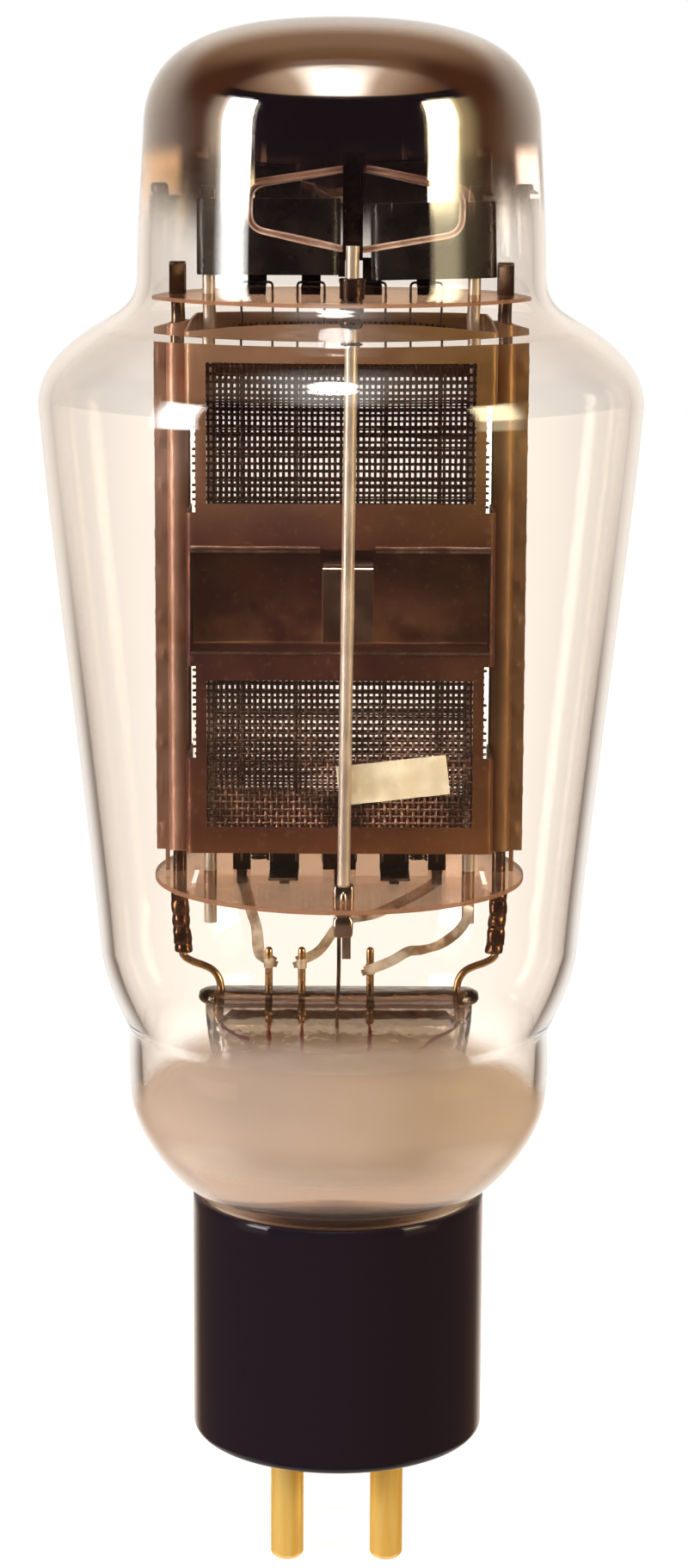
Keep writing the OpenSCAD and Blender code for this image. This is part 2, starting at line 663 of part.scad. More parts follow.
// Turns of the grid, each drawn tight around both rods.
module grid_winding() {
    inner_d = grid_rod_d + 2 * fit;
    outer_d = inner_d + 2 * grid_wire_d;
    color([0.3, 0.27, 0.25]) for (z = [anode_z + 2:grid_pitch:anode_top - 2])
        translate([0, 0, z]) linear_extrude(grid_wire_d) difference() {
            racetrack(grid_spacing + outer_d, outer_d, $fn = 24);
            racetrack(grid_spacing + inner_d, inner_d, $fn = 24);
        }
}

// Cooling fin: a flattened sleeve around a grid rod, from x0 to x1 across the tube.
module fin(x0, x1, z, tilt = 0) {
    color([0.1, 0.09, 0.09]) translate([(x0 + x1) / 2, 0, z]) rotate([0, -tilt, 0])
        linear_extrude(fin_h)
        difference() {
            racetrack(x1 - x0, fin_depth);
            racetrack(x1 - x0 - 2 * sheet_t, fin_depth - 2 * sheet_t);
        }
}
fin_over = 1.4;   // how far a fin reaches outside its rod
module fin_left() { fin(-grid_x - fin_over, -0.1, fin_z); }
module fin_right() { fin(3.4, grid_x + fin_over + 1.2, fin_z - fin_drop, fin_tilt); }

// Small folded clip on the end of a grid rod, resting on its fin.
module fin_clip(s, z) {
    half = grid_rod_d / 2 + sheet_t / 2 + 0.05;
    top = grid_rod_top + 0.25;
    flap = s > 0 ? [[half + 1.3, top - 0.9]] : [[half + 0.3, top - 0.5]];
    color([0.12, 0.1, 0.1]) translate([s * grid_x, 0, 0]) rotate(90) mirror([0, 1, 0])
        side_sheet(concat([[-half, z], [-half, top - 0.2], [-half + 0.2, top],
            [half - 0.2, top]], flap), sheet_t, 1.6);
}
module fin_clip_left() { fin_clip(-1, fin_z + fin_h); }
module fin_clip_right() { fin_clip(1, fin_z + fin_h - fin_drop + 4.3 * sin(fin_tilt)); }

// Middle and width of each hairpin, from left to right.
function hairpins() = [for (s = [-1, 1])
    each (s < 0 ? [[-outer_hairpin_spacing / 2, outer_hairpin_w],
        [-inner_hairpin_spacing / 2, inner_hairpin_w]]
        : [[inner_hairpin_spacing / 2, inner_hairpin_w],
        [outer_hairpin_spacing / 2, outer_hairpin_w]])];
function strand_xs() = [for (h = hairpins(), s = [-1, 1]) h[0] + s * h[1] / 2];

// Middle and width of each filament bar: two ends, two joints and the centre.
bar_end_w = 2.1;
joint_lap = 0.6;
function bars() = let (x = strand_xs())
    [[x[0], bar_end_w], [(x[1] + x[2]) / 2, x[2] - x[1] + joint_lap],
    [(x[3] + x[4]) / 2, x[4] - x[3]], [(x[5] + x[6]) / 2, x[6] - x[5] + joint_lap],
    [x[7], bar_end_w]];
bar_t = 0.4;
bar_y = filament_d / 2 + fit + bar_t / 2;
bar_h = 3.6;
bar_tongue = 1.2;
bar_tongue_w = 1.2;
spring_foot_reach = 6.4;
spring_foot_l = 5.8;
spring_foot_t = 0.25;

module filament() {
    foot = mica_lower_z + mica_t + 1;
    top = mica_upper_top + hook_h + 0.12 + filament_d / 2;
    color([0.35, 0.3, 0.28]) for (h = hairpins()) {
        r = h[1] / 2;
        wire([[h[0] - r, 0, foot], [h[0] - r, 0, top - 0.45], [h[0] - r * 0.85, 0, top - 0.1],
            [h[0] - r * 0.5, 0, top], [h[0] + r * 0.5, 0, top], [h[0] + r * 0.85, 0, top - 0.1],
            [h[0] + r, 0, top - 0.45], [h[0] + r, 0, foot]], filament_d, 6);
    }
}

// Each hook is a strip that steps up from the upper mica and stands behind its hairpin.
hook_front = 1.4;
hook_toe = 0.6;
hook_stand = 3;
hook_w = 2.2;
module filament_hooks() {
    back = fin_depth / 2 + sheet_t;
    foot = mica_upper_top + sheet_t / 2;
    step = mica_upper_top + hook_h - sheet_t / 2;
    color([0.15, 0.13, 0.12]) for (h = hairpins()) translate([h[0], 0, 0])
        side_sheet([[-hook_front - hook_toe, foot], [-hook_front, foot], [-hook_front, step],
            [back, step], [back, mica_upper_top + hook_h + hook_stand]], sheet_t, hook_w);
}

// Upright bars on the lower mica, each with a tongue through it; the joints have a spring foot.
module filament_bars() {
    z = mica_lower_z + mica_t;
    color([0.25, 0.21, 0.19]) {
        for (b = bars()) {
            translate([b[0] - b[1] / 2, bar_y - bar_t / 2, z]) cube([b[1], bar_t, bar_h]);
            translate([b[0] - bar_tongue_w / 2, bar_y - bar_t / 2, z - mica_t - bar_tongue])
                cube([bar_tongue_w, bar_t, bar_tongue + mica_t + 0.5]);
        }
        for (i = [1, 3])
            let (b = bars()[i]) {
                translate([b[0] - b[1] / 2 + 0.5, -spring_foot_reach, z])
                    cube([b[1] - 1, spring_foot_reach + bar_y, spring_foot_t]);
                translate([b[0] - b[1] / 2, -spring_foot_reach, z])
                    cube([b[1], spring_foot_l, spring_foot_t]);
            }
    }
}

// Open spring coils between the outer bars and the joints.
module filament_springs() {
    outer_r = (bars()[1][0] - bars()[1][1] / 2 - bars()[0][0] - bars()[0][1] / 2) / 2 - fit;
    x = bars()[0][0] + bars()[0][1] / 2 + fit + outer_r;
    wire_t = 0.35;
    color([0.25, 0.21, 0.19]) for (s = [-1, 1], k = [0, 1])
        translate([s * x, bar_y, mica_lower_z + mica_t + 1.1 + k * wire_t])
            tube(wire_t, outer_r, outer_r - wire_t);
}

// Where the leaning centre rod stands at height z.
rod_top_x = 1.2;
rod_foot_x = 0.45;
rod_top = getter_z + 1;
clamp_z = mica_lower_z - 4.1;
clamp_r = 1.2;
function rod_x(z) = rod_foot_x + (rod_top_x - rod_foot_x) * (z - clamp_z) / (rod_top - clamp_z);
rod_lean = atan((rod_top_x - rod_foot_x) / (rod_top - clamp_z));

// Places its children on the rod's axis, with z measured along the rod from its foot.
module on_rod(z) {
    translate([rod_foot_x, -rod_depth, clamp_z]) rotate([0, rod_lean, 0])
        translate([0, 0, z - clamp_z]) children();
}

module centre_rod() {
    color([0.62, 0.58, 0.52]) on_rod(clamp_z + 1)
        cylinder(h = rod_top - clamp_z - 1, r = rod_d / 2);
}

// Collar through the upper mica: two beads below it and a wide ring on top of it.
module rod_collar() {
    drop = 3.7;
    top = drop + mica_t + collar_rise;
    bead = collar_r + 0.15;
    ring_r = collar_r + 0.2;
    color([0.2, 0.18, 0.17]) on_rod(mica_upper_z - drop) rotate_extrude()
        polygon([[rod_d / 2 + fit, 0], [collar_r - 0.1, 0], [bead, 0.5], [bead, 0.9],
            [collar_r - 0.25, 1.4], [collar_r - 0.25, 1.9], [bead, 2.5], [bead, 3],
            [collar_r, drop - 0.3], [collar_r, drop + mica_t + 0.15],
            [ring_r, drop + mica_t + 0.15], [ring_r, top - 0.4], [ring_r + 0.1, top],
            [rod_d / 2 + fit, top]]);
}

// Clamp through the lower mica, with a flat tab below it.
module rod_clamp() {
    color([0.6, 0.55, 0.48]) {
        on_rod(clamp_z) difference() {
            rotate_extrude() polygon([[0, 0], [clamp_r, 0], [clamp_r, 2.4], [clamp_r - 0.2, 2.8],
                [clamp_r - 0.05, 3.4], [clamp_r - 0.05, 6.1], [0, 6.1]]);
            translate([0, 0, 1 - fit]) cylinder(h = 9, r = rod_d / 2 + fit);
        }
        translate([rod_foot_x - 0.1, -rod_depth - 0.2, clamp_z - 2.6]) cube([1, 0.4, 2.8]);
    }
}

// Corner points of the getter loop about its middle, as X and height.
function getter_corners() =
    let (w = getter_w / 2, s = getter_side_h / 2, h = getter_h / 2 - getter_wire_d / 2)
    [[-w + 0.5, -s], [-w + 0.5, s], [0, h], [w - 0.5, s], [w - 0.5, -s], [0, -h]];

getter_y = -rod_depth + rod_d / 2 + fit + 0.4 + getter_wire_d / 2;
module getter_loop() {
    c = getter_corners();
    n = len(c);
    easing = 1.6;
    path = [for (i = [0:n - 1])
        let (a = c[(i + n - 1) % n], b = c[i], d = c[(i + 1) % n],
            from = b + unit(a - b) * easing, to = b + unit(d - b) * easing)
        each curve(from, (from + 2 * b) / 3, (to + 2 * b) / 3, to, 5)];
    color([0.72, 0.62, 0.55]) translate([rod_top_x + 0.3, getter_y, getter_z + getter_h / 2])
        rotate([0, 1.2, 0])
            wire([for (q = path) [q.x, 0, q.y]], getter_wire_d, 8, true);
}

// Channel strip between the rod's end and both sides of the getter loop, with a tail to the collar.
module getter_holder() {
    strip_t = 0.4;
    strip_w = 2.2;
    front = -rod_depth + rod_d / 2 + fit;
    left = rod_top_x - 1.1;
    tail_z = mica_upper_top + collar_rise + slip / 2;
    color([0.25, 0.22, 0.2]) {
        translate([left, front, getter_z - 0.6]) difference() {
            cube([strip_w, strip_t - fit, getter_h + 1.2]);
            translate([0.5, -1, 3]) cube([strip_w - 1, 1.2, getter_h + 1]);
        }
        translate([left - 0.45, front, tail_z]) cube([0.75, strip_t - fit, getter_z - tail_z]);
    }
}

// Flat tag fixed behind the centre rod, which leans up to the right.
module tag() {
    tag_t = 0.25;
    z = anode_z + 6.4;
    color([0.8, 0.77, 0.7]) on_rod(z) rotate([0, -7.1, 0])
        translate([-0.5, rod_d / 2 + fit, 0]) cube([tag_w, tag_t, tag_h]);
}

// Bent lead from a sleeve into the press.
module support_lead(s) {
    from = post_x - 0.3;
    bends = [[0, 0], [0, 0.3], [0.09, 0.8], [0.31, 1.3], [0.56, 1.7], [0.8, 2.3], [0.96, 3.4]];
    x = s * support_lead_x;
    color([0.55, 0.42, 0.28])
        wire(concat([for (b = bends)
            [s * (from + (support_lead_x - from) * b.x), 0, post_foot - b.y]],
            [[x, 0, press_top], [x, 0, press_foot - lead_drop]]), lead_d, 10);
}
module support_lead_left() { support_lead(-1); }
module support_lead_right() { support_lead(1); }

module straight_lead(x) {
    h = press_h + lead_drop + stub_h;
    color([0.5, 0.4, 0.3]) translate([x, 0, press_foot - lead_drop]) {
        cylinder(h = h - 0.4, r = lead_d / 2);
        translate([0, 0, h - 0.4]) cylinder(h = 0.4, r1 = lead_d / 2, r2 = lead_d / 4);
    }
}
module filament_lead_left() { straight_lead(left_lead_x); }
module filament_lead_right() { straight_lead(right_lead_x); }
module grid_lead() { straight_lead(grid_lead_x); }

// Thin wire from the rod clamp, which runs down in front of the press and along the stem.
module centre_wire() {
    beside_stem = seal_wire_d / 2 + slip;
    front = press_depth / 2 + beside_stem;
    color([0.6, 0.5, 0.42])
        wire(concat([[0, -rod_depth, clamp_z], [0, -rod_depth, clamp_z - 0.6],
            [0, -rod_depth + 0.8, clamp_z - 4], [-0.1, -rod_depth + 5, clamp_z - 8.4],
            [-0.2, -front - 1.2, press_top + 0.8], [-0.2, -front, press_top - 1],
            [-0.2, -front, press_foot + 0.5]], [for (z = [press_foot - 1.5:-1.4:press_foot - 4.5])
                [-0.2, -stem_half(z).y - beside_stem - 0.1, z]]), seal_wire_d, 8);
}

ribbon_y = lead_d / 2 + ribbon_t / 2 + fit;
ribbon_top = mica_lower_z - bar_tongue;
bar_back_y = bar_y + bar_t / 2 + ribbon_t / 2 + fit;
stub_top = press_top + stub_h;
module filament_ribbon_left() {
    x = bars()[0][0];
    color([0.6, 0.5, 0.4])
        ribbon([[x + 0.1, bar_back_y, ribbon_top + 0.6], [x + 0.5, bar_back_y, ribbon_top - 1],
            [x + 1.1, 0.7, ribbon_top - 3.4], [x + 1.7, ribbon_y, ribbon_top - 5.4],
            [x + 2.4, ribbon_y, stub_top - 1.2], [left_lead_x + 0.6, ribbon_y, stub_top - 2.1]],
            ribbon_w * 1.3, ribbon_t);
}
module filament_ribbon_right() {
    x = bars()[4][0];
    color([0.72, 0.66, 0.56])
        ribbon([[x + 0.2, bar_back_y, ribbon_top + 0.4], [x - 1.5, bar_back_y, ribbon_top - 0.8],
            [x - 4.2, 1.2, ribbon_top - 2.4], [4.2, 1.5, ribbon_top - 3.9],
            [0.4, 1.4, ribbon_top - 4.9], [-2.4, 0.9, stub_top - 0.7],
            [right_lead_x - 0.6, ribbon_y, stub_top - 1.9]], ribbon_w, ribbon_t);
}
module grid_ribbon() {
    y = -grid_rod_d / 2 - ribbon_t / 2 - fit;
    foot = mica_lower_z - 5.8;
    color([0.72, 0.66, 0.56])
        ribbon([[grid_x + 0.2, y, foot + 2.2], [grid_x - 0.2, y, foot + 0.6],
            [grid_x - 1.2, y, foot - 0.9], [grid_x - 3.2, y, foot - 2.4],
            [grid_x - 5.4, y, foot - 3.1], [grid_x - 7, y, foot - 3.3],
            [grid_lead_x + 2.4, y, foot - 4.5], [grid_lead_x - 0.6, -ribbon_y, foot - 5.8]],
            ribbon_w, ribbon_t);
}

// Thin wires from the press through the flare into the hollow pins, and one cut-off end.
module base_wires() {
    top = press_foot - lead_drop - fit;
    pin_top = base_floor + 2;
    pin_end = -pin_len + 3;
    color([0.45, 0.12, 0.14]) {
        wire([[left_lead_x, 0, top], [left_lead_x, 0, top - 4], [-7.4, -4, top - 14],
            [-pin_x, -pin_y, pin_top + 3], [-pin_x, -pin_y, pin_top], [-pin_x, -pin_y, pin_end]],
            seal_wire_d);
        wire([[right_lead_x, 0, top], [right_lead_x, 0, top - 4], [-2.5, -4.4, top - 13],
            [4, -5.6, top - 26], [pin_x, -pin_y, pin_top + 3], [pin_x, -pin_y, pin_top],
            [pin_x, -pin_y, pin_end]], seal_wire_d);
        wire([[grid_lead_x, 0, top], [grid_lead_x, 0, top - 4], [2.5, 4.4, top - 13],
            [-4, 5.6, top - 26], [-pin_x, pin_y, pin_top + 3], [-pin_x, pin_y, pin_top],
            [-pin_x, pin_y, pin_end]], seal_wire_d);
        wire([[support_lead_x, 0, top], [support_lead_x, 0, top - 0.4],
            [support_lead_x - 0.5, 0, top - 1], [support_lead_x - 2.5, 0, top - 2.2],
            [support_lead_x - 4.8, 0.3, top - 4], [support_lead_x - 5.2, 1, top - 6],
            [stem_r - 3.9, 4, top - 16],
            [pin_x, pin_y, pin_top + 3], [pin_x, pin_y, pin_top], [pin_x, pin_y, pin_end]],
            seal_wire_d);
        wire([[-support_lead_x, 0, top], [-support_lead_x, 0, top - 0.4],
            [-support_lead_x + 0.5, 0, top - 1],
            [-support_lead_x + 1.6, 0, top - 1.8], [-support_lead_x + 3.4, 0, top - 2.4]],
            seal_wire_d);
    }
}

envelope();
stem();
base_shell();
base_cement();
filament_pin_left();
filament_pin_right();
grid_pin();
anode_pin();
bayonet_pin();
anode_front();
anode_back();
mesh_front_upper();
mesh_front_lower();
mesh_back_upper();
mesh_back_lower();
waist_bracket();
mica_upper();
mica_lower();
post_left();
post_right();
post_cap_left();
post_cap_right();
post_sleeve_left();
post_sleeve_right();
grid_rod_left();
grid_rod_right();
grid_winding();
fin_left();
fin_right();
fin_clip_left();
fin_clip_right();
filament();
filament_hooks();
filament_bars();
filament_springs();
getter_loop();
getter_holder();
centre_rod();
rod_collar();
rod_clamp();
tag();
support_lead_left();
support_lead_right();
filament_lead_left();
filament_lead_right();
grid_lead();
centre_wire();
filament_ribbon_left();
filament_ribbon_right();
grid_ribbon();
base_wires();
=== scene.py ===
"""Studio scene of a power triode tube, dressed around its CAD model. Lengths are in millimetres."""
import math
import random

import bpy
import numpy as np
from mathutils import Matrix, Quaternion, Vector

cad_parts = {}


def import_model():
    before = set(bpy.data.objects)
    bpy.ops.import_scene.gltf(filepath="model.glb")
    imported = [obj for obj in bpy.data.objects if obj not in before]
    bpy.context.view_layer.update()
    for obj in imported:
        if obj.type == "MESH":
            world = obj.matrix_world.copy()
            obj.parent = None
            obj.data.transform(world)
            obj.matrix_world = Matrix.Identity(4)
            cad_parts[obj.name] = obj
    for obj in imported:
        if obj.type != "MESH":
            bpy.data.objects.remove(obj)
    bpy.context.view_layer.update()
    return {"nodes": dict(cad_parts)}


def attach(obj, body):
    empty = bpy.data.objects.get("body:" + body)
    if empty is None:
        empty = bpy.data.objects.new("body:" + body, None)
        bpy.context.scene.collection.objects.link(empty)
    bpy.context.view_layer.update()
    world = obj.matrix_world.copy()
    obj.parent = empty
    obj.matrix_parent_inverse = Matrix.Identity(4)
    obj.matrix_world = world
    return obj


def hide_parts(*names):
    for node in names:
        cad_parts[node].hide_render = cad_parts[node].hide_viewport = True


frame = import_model()
MM = 0.001
TAU = 2 * math.pi

# Camera
PITCH, ROLL = math.radians(10.8), math.radians(0.246)
TARGET, DISTANCE = Vector((0.51, 0, 78.95)), 413.7
PHOTO_HEIGHT, FOCAL_PIXELS, SENSOR = 1822, 4100, 36
camera_data = bpy.data.cameras.new("camera")
camera_data.sensor_fit = "VERTICAL"
camera_data.sensor_height = SENSOR
camera_data.lens = FOCAL_PIXELS / PHOTO_HEIGHT * SENSOR
camera_data.clip_start = 0.02
camera = bpy.data.objects.new("camera", camera_data)
backward = Vector((0, -math.cos(PITCH), math.sin(PITCH)))
camera.location = TARGET * MM + backward * DISTANCE * MM
camera.rotation_mode = "QUATERNION"
camera.rotation_quaternion = (-backward).to_track_quat("-Z", "Y") @ Quaternion((0, 0, 1), ROLL)
scene = bpy.context.scene
scene.collection.objects.link(camera)
scene.camera = camera

scene.view_settings.view_transform = "Standard"
scene.cycles.max_bounces = 16
scene.cycles.transmission_bounces = 14
scene.cycles.glossy_bounces = 6
scene.cycles.diffuse_bounces = 4
scene.cycles.transparent_max_bounces = 16
scene.cycles.sample_clamp_indirect = 40
scene.cycles.caustics_reflective = True
scene.cycles.caustics_refractive = True
scene.cycles.use_denoising = True


# Node helpers
class Graph:
    """Short names for adding nodes to one node tree."""

    def __init__(self, tree):
        self.tree = tree
        tree.nodes.clear()

    def put(self, socket, value):
        if isinstance(value, bpy.types.NodeSocket):
            self.tree.links.new(value, socket)
        elif isinstance(value, tuple) and len(value) == 3 and socket.type == "RGBA":
            socket.default_value = (*value, 1)
        else:
            socket.default_value = value

    def node(self, kind, inputs=None, **settings):
        n = self.tree.nodes.new("ShaderNode" + kind)
        for key, value in settings.items():
            setattr(n, key, value)
        for key, value in (inputs or {}).items():
            self.put(n.inputs[key], value)
        return n

    def first(self, kind, *inputs, **settings):
        """The first output of a new node, with its first inputs set."""
        return self.node(kind, dict(enumerate(inputs)), **settings).outputs[0]

    def math(self, op, a, b=0.0):
        return self.first("Math", a, b, operation=op)

    def plus(self, a, b):
        return self.math("ADD", a, b)

    def minus(self, a, b):
        return self.math("SUBTRACT", a, b)

    def times(self, *values):
        result = values[0]
        for v in values[1:]:
            result = self.math("MULTIPLY", result, v)
        return result

    def step(self, x, low, high, a=0.0, b=1.0):
        """Goes smoothly from a to b while x goes from low to high."""
        return self.first("MapRange", x, low, high, a, b, interpolation_type="SMOOTHSTEP")

    def band(self, x, low, high, soft, soft_high=None):
        """1 while x is between low and high, with soft edges."""
        s = soft if soft_high is None else soft_high
        return self.times(self.step(x, low - soft, low + soft), self.step(x, high - s, high + s, 1.0, 0.0))

    def mix(self, factor, a, b):
        n = self.node("Mix", {0: factor}, data_type="RGBA")
        self.put(n.inputs[6], a)
        self.put(n.inputs[7], b)
        return n.outputs[2]

    def mix_shader(self, factor, a, b):
        return self.first("MixShader", factor, a, b)

    def direct(self):
        """1 for rays from the camera, also through glass, that nothing has reflected or scattered yet."""
        path = self.node("LightPath").outputs
        bounced = self.plus(path["Glossy Depth"], path["Diffuse Depth"])
        clear = self.minus(1.0, self.math("MINIMUM", bounced, 1.0))
        return self.math("MAXIMUM", path["Is Camera Ray"], self.times(path["Is Transmission Ray"], clear))


class Finish(Graph):
    """A material with its node tree, with coordinates in millimetres."""

    def __init__(self, name):
        self.material = bpy.data.materials.new(name)
        self.material.use_nodes = True
        super().__init__(self.material.node_tree)
        self.out = self.node("OutputMaterial")
        coords = self.node("TexCoord").outputs["Object"]
        self.at = self.node("VectorMath", {0: coords, 3: 1 / MM}, operation="SCALE").outputs[0]
        self.x, self.y, self.z = self.node("SeparateXYZ", {0: self.at}).outputs

    def noise(self, size, detail=3.0, roughness=0.55, at=None):
        """Noise between about 0.3 and 0.7, with spots of the given size in millimetres."""
        return self.node("TexNoise", {"Vector": at or self.at, "Scale": 1 / size, "Detail": detail,
                                      "Roughness": roughness}).outputs[0]

    def stretched(self, sx, sy, sz):
        return self.first("VectorMath", self.at, (sx, sy, sz), operation="MULTIPLY")

    def bump(self, height, strength, distance, normal=None):
        inputs = {"Height": height, "Strength": strength, "Distance": distance * MM}
        if normal is not None:
            inputs["Normal"] = normal
        return self.node("Bump", inputs).outputs[0]

    def ramp(self, value, *stops):
        n = self.node("ValToRGB", {0: value})
        marks = n.color_ramp.elements
        while len(marks) < len(stops):
            marks.new(0.5)
        for mark, (place, _) in zip(marks, stops):
            mark.position = place
        for mark, (_, color) in zip(marks, stops):
            mark.color = (*color, 1)
        return n.outputs[0]

    def principled(self, **inputs):
        names = {key.replace("_", " "): value for key, value in inputs.items()}
        return self.node("BsdfPrincipled", names).outputs[0]

    def glass(self, tint, **more):
        return self.principled(Base_Color=tint, Roughness=0.0, IOR=1.5, Transmission_Weight=1.0, **more)

    def done(self, shader):
        self.put(self.out.inputs[0], shader)
        return self.material

    def done_shadowless(self, shader):
        """Done, with a shader that lets the light through for shadow rays."""
        shadow = self.node("LightPath").outputs["Is Shadow Ray"]
        return self.done(self.mix_shader(shadow, shader, self.first("BsdfTransparent", (0.93, 0.92, 0.9))))


# Mesh helpers
def add(name, node, part, slot, *looks, angle=38):
    """A piece that stands for a node and rides on the one body. A part is its points and faces and, with
    several looks, the number of each face's look. The one look is the slot's own where none is given."""
    verts, faces, *numbers = part
    mesh = bpy.data.meshes.new(name)
    mesh.from_pydata((np.asarray(verts, float) * MM).tolist(), [], [tuple(f) for f in faces])
    for look in looks or (slot,):
        mesh.materials.append(materials[look])
    if numbers:
        mesh.polygons.foreach_set("material_index", numbers[0])
    mesh.polygons.foreach_set("use_smooth", [True] * len(mesh.polygons))
    mesh.set_sharp_from_angle(angle=math.radians(angle))
    mesh.update()
    piece = bpy.data.objects.new(name, mesh)
    scene.collection.objects.link(piece)
    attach(piece, "root")
    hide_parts(node)


def joined(*parts):
    """Several (verts, faces) as one."""
    verts, faces, start = [], [], 0
    for v, f in parts:
        verts.append(np.asarray(v, float))
        faces += [tuple(i + start for i in face) for face in f]
        start += len(v)
    return np.concatenate(verts), faces


def lathe(profile, segments, centre=(0, 0, 0), closed=False):
    """The (radius, height) outline turned around an upright axis."""
    cx, cy, cz = centre
    verts, rings = [], []
    for r, z in profile:
        if r < 1e-6:
            rings.append([len(verts)] * segments)
            verts.append((cx, cy, cz + z))
        else:
            rings.append(list(range(len(verts), len(verts) + segments)))
            turns = [TAU * k / segments for k in range(segments)]
            verts += [(cx + r * math.cos(t), cy + r * math.sin(t), cz + z) for t in turns]
    faces = []
    pairs = list(zip(rings, rings[1:])) + ([(rings[-1], rings[0])] if closed else [])
    turn = sum(p[0] * q[1] - q[0] * p[1] for p, q in zip(profile, list(profile[1:]) + [profile[0]]))
    for a, b in pairs:
        for k in range(segments):
            m = (k + 1) % segments
            quad = [a[k], b[k], b[m], a[m]] if turn < 0 else [b[k], a[k], a[m], b[m]]
            face = [q for i, q in enumerate(quad) if q != quad[i - 1]]
            if len(face) > 2:
                faces.append(face)
    return verts, faces


def skin(rows, sides, closed=False):
    """Faces over rows of points around a tube, with both ends closed or the last row joined to the first."""
    faces = []
    for i in range(rows if closed else rows - 1):
        a, b = i * sides, (i + 1) % rows * sides
        faces += [(a + k, a + (k + 1) % sides, b + (k + 1) % sides, b + k) for k in range(sides)]
    if not closed:
        faces.append(tuple(range(sides - 1, -1, -1)))
        faces.append(tuple((rows - 1) * sides + k for k in range(sides)))
    return faces


def unit(vectors):
    return vectors / np.linalg.norm(vectors, axis=-1)[..., None]


def sweep(path, section, closed=False, side=(0, 1, 0), scale=None, twist=None):
    """The (u, v) section carried along the path; u lies along the side direction made square to the path."""
    p = np.asarray(path, float)
    side = np.asarray(side, float)
    tangent = unit(np.roll(p, -1, 0) - np.roll(p, 1, 0) if closed else np.gradient(p, axis=0))
    u = unit(side[None, :] - (tangent @ side)[:, None] * tangent)
    v = np.cross(tangent, u)
    if twist is not None:
        u = u * np.cos(twist)[:, None] + v * np.sin(twist)[:, None]
        v = np.cross(tangent, u)
    s = np.ones((len(p), 1, 1)) if scale is None else np.asarray(scale, float)[:, None, None]
    sec = np.asarray(section, float)
    verts = p[:, None, :] + s * (sec[None, :, :1] * u[:, None, :] + sec[None, :, 1:] * v[:, None, :])
    return verts.reshape(-1, 3), skin(len(p), len(sec), closed)


def ring(r, sides):
    return [(r * math.cos(TAU * k / sides), r * math.sin(TAU * k / sides)) for k in range(sides)]


def flat(w, t, edge=0.06):
    """A flat section with slightly rounded edges, w along u and t along v."""
    a, b, e = w / 2, t / 2, min(edge, t / 2.2)
    lower = [(-a, -b + e), (-a + e, -b), (a - e, -b), (a, -b + e)]
    return lower + [(-u, -v) for u, v in lower]


def curve(a, b, c, d, n):
    """A Bezier curve from a to d, in n steps."""
    a, b, c, d = (np.asarray(q, float) for q in (a, b, c, d))
    t = np.linspace(0, 1, n + 1)[:, None]
    s = 1 - t
    return s ** 3 * a + 3 * s * s * t * b + 3 * s * t * t * c + t ** 3 * d


def rounded(points, radius, steps=5, closed=False):
    """The line through the points with its corners rounded."""
    p = [np.asarray(q, float) for q in points]
    n = len(p)
    out = []
    for i, q in enumerate(p):
        if not closed and i in (0, n - 1):
            out.append(q)
            continue
        a, b = p[i - 1] - q, p[(i + 1) % n] - q
        la, lb = np.linalg.norm(a), np.linalg.norm(b)
        r = min(radius, la * 0.45, lb * 0.45)
        start, end = q + a / la * r, q + b / lb * r
        out += list(curve(start, (start + 2 * q) / 3, (end + 2 * q) / 3, end, steps))
    return np.array(out)


def smooth_path(points, steps):
    """A Catmull-Rom line through the points."""
    p = [np.asarray(q, float) for q in points]
    p = [2 * p[0] - p[1]] + p + [2 * p[-1] - p[-2]]
    out = []
    for a, b, c, d in zip(p, p[1:], p[2:], p[3:]):
        for t in np.arange(steps) / steps:
            bend = (2 * a - 5 * b + 4 * c - d) * t ** 2 + (3 * b - a - 3 * c + d) * t ** 3
            out.append(b + ((c - a) * t + bend) / 2)
    return np.array(out + [p[-2]])


def split(points, step, closed=False):
    """The line's points with more between them, no further apart than step."""
    p = np.asarray(points, float)
    out = []
    for a, b in zip(p, np.roll(p, -1, 0) if closed else p[1:]):
        k = max(1, math.ceil(np.linalg.norm(b - a) / step))
        out += [a + (b - a) * i / k for i in range(k)]
    return np.array(out if closed else out + [p[-1]])


def between(stops, step):
    """Numbers that include every stop, no further apart than step."""
    return split([(stop,) for stop in stops], step)[:, 0]


def sheet(points, keep, t):
    """A sheet of thickness t around a grid of points; keep marks the cells that are there."""
    g = np.asarray(points, float)
    m, n = g.shape[:2]
    normal = unit(np.cross(np.gradient(g, axis=0), np.gradient(g, axis=1)))
    verts = np.concatenate([(g + normal * t / 2).reshape(-1, 3), (g - normal * t / 2).reshape(-1, 3)])
    under = m * n
    padded = np.pad(keep, 1)
    faces = []
    for i, j in np.argwhere(keep):
        a, b, c, d = i * n + j, (i + 1) * n + j, (i + 1) * n + j + 1, i * n + j + 1
        faces.append((a, b, c, d))
        faces.append((d + under, c + under, b + under, a + under))
        for p, q, there in ((a, b, padded[i + 1, j]), (b, c, padded[i + 2, j + 1]),
                            (c, d, padded[i + 1, j + 2]), (d, a, padded[i, j + 1])):
            if not there:
                faces.append((q, p, p + under, q + under))
    used = np.unique(np.concatenate([np.array(f) for f in faces]))
    place = np.full(len(verts), -1)
    place[used] = np.arange(len(used))
    return verts[used], [tuple(place[list(f)]) for f in faces]


def middles(values):
    """The values in the middle of a grid's cells."""
    return (values[1:, 1:] + values[:-1, :-1]) / 2


def inside(values, limits):
    return (values > limits[0]) & (values < limits[1])


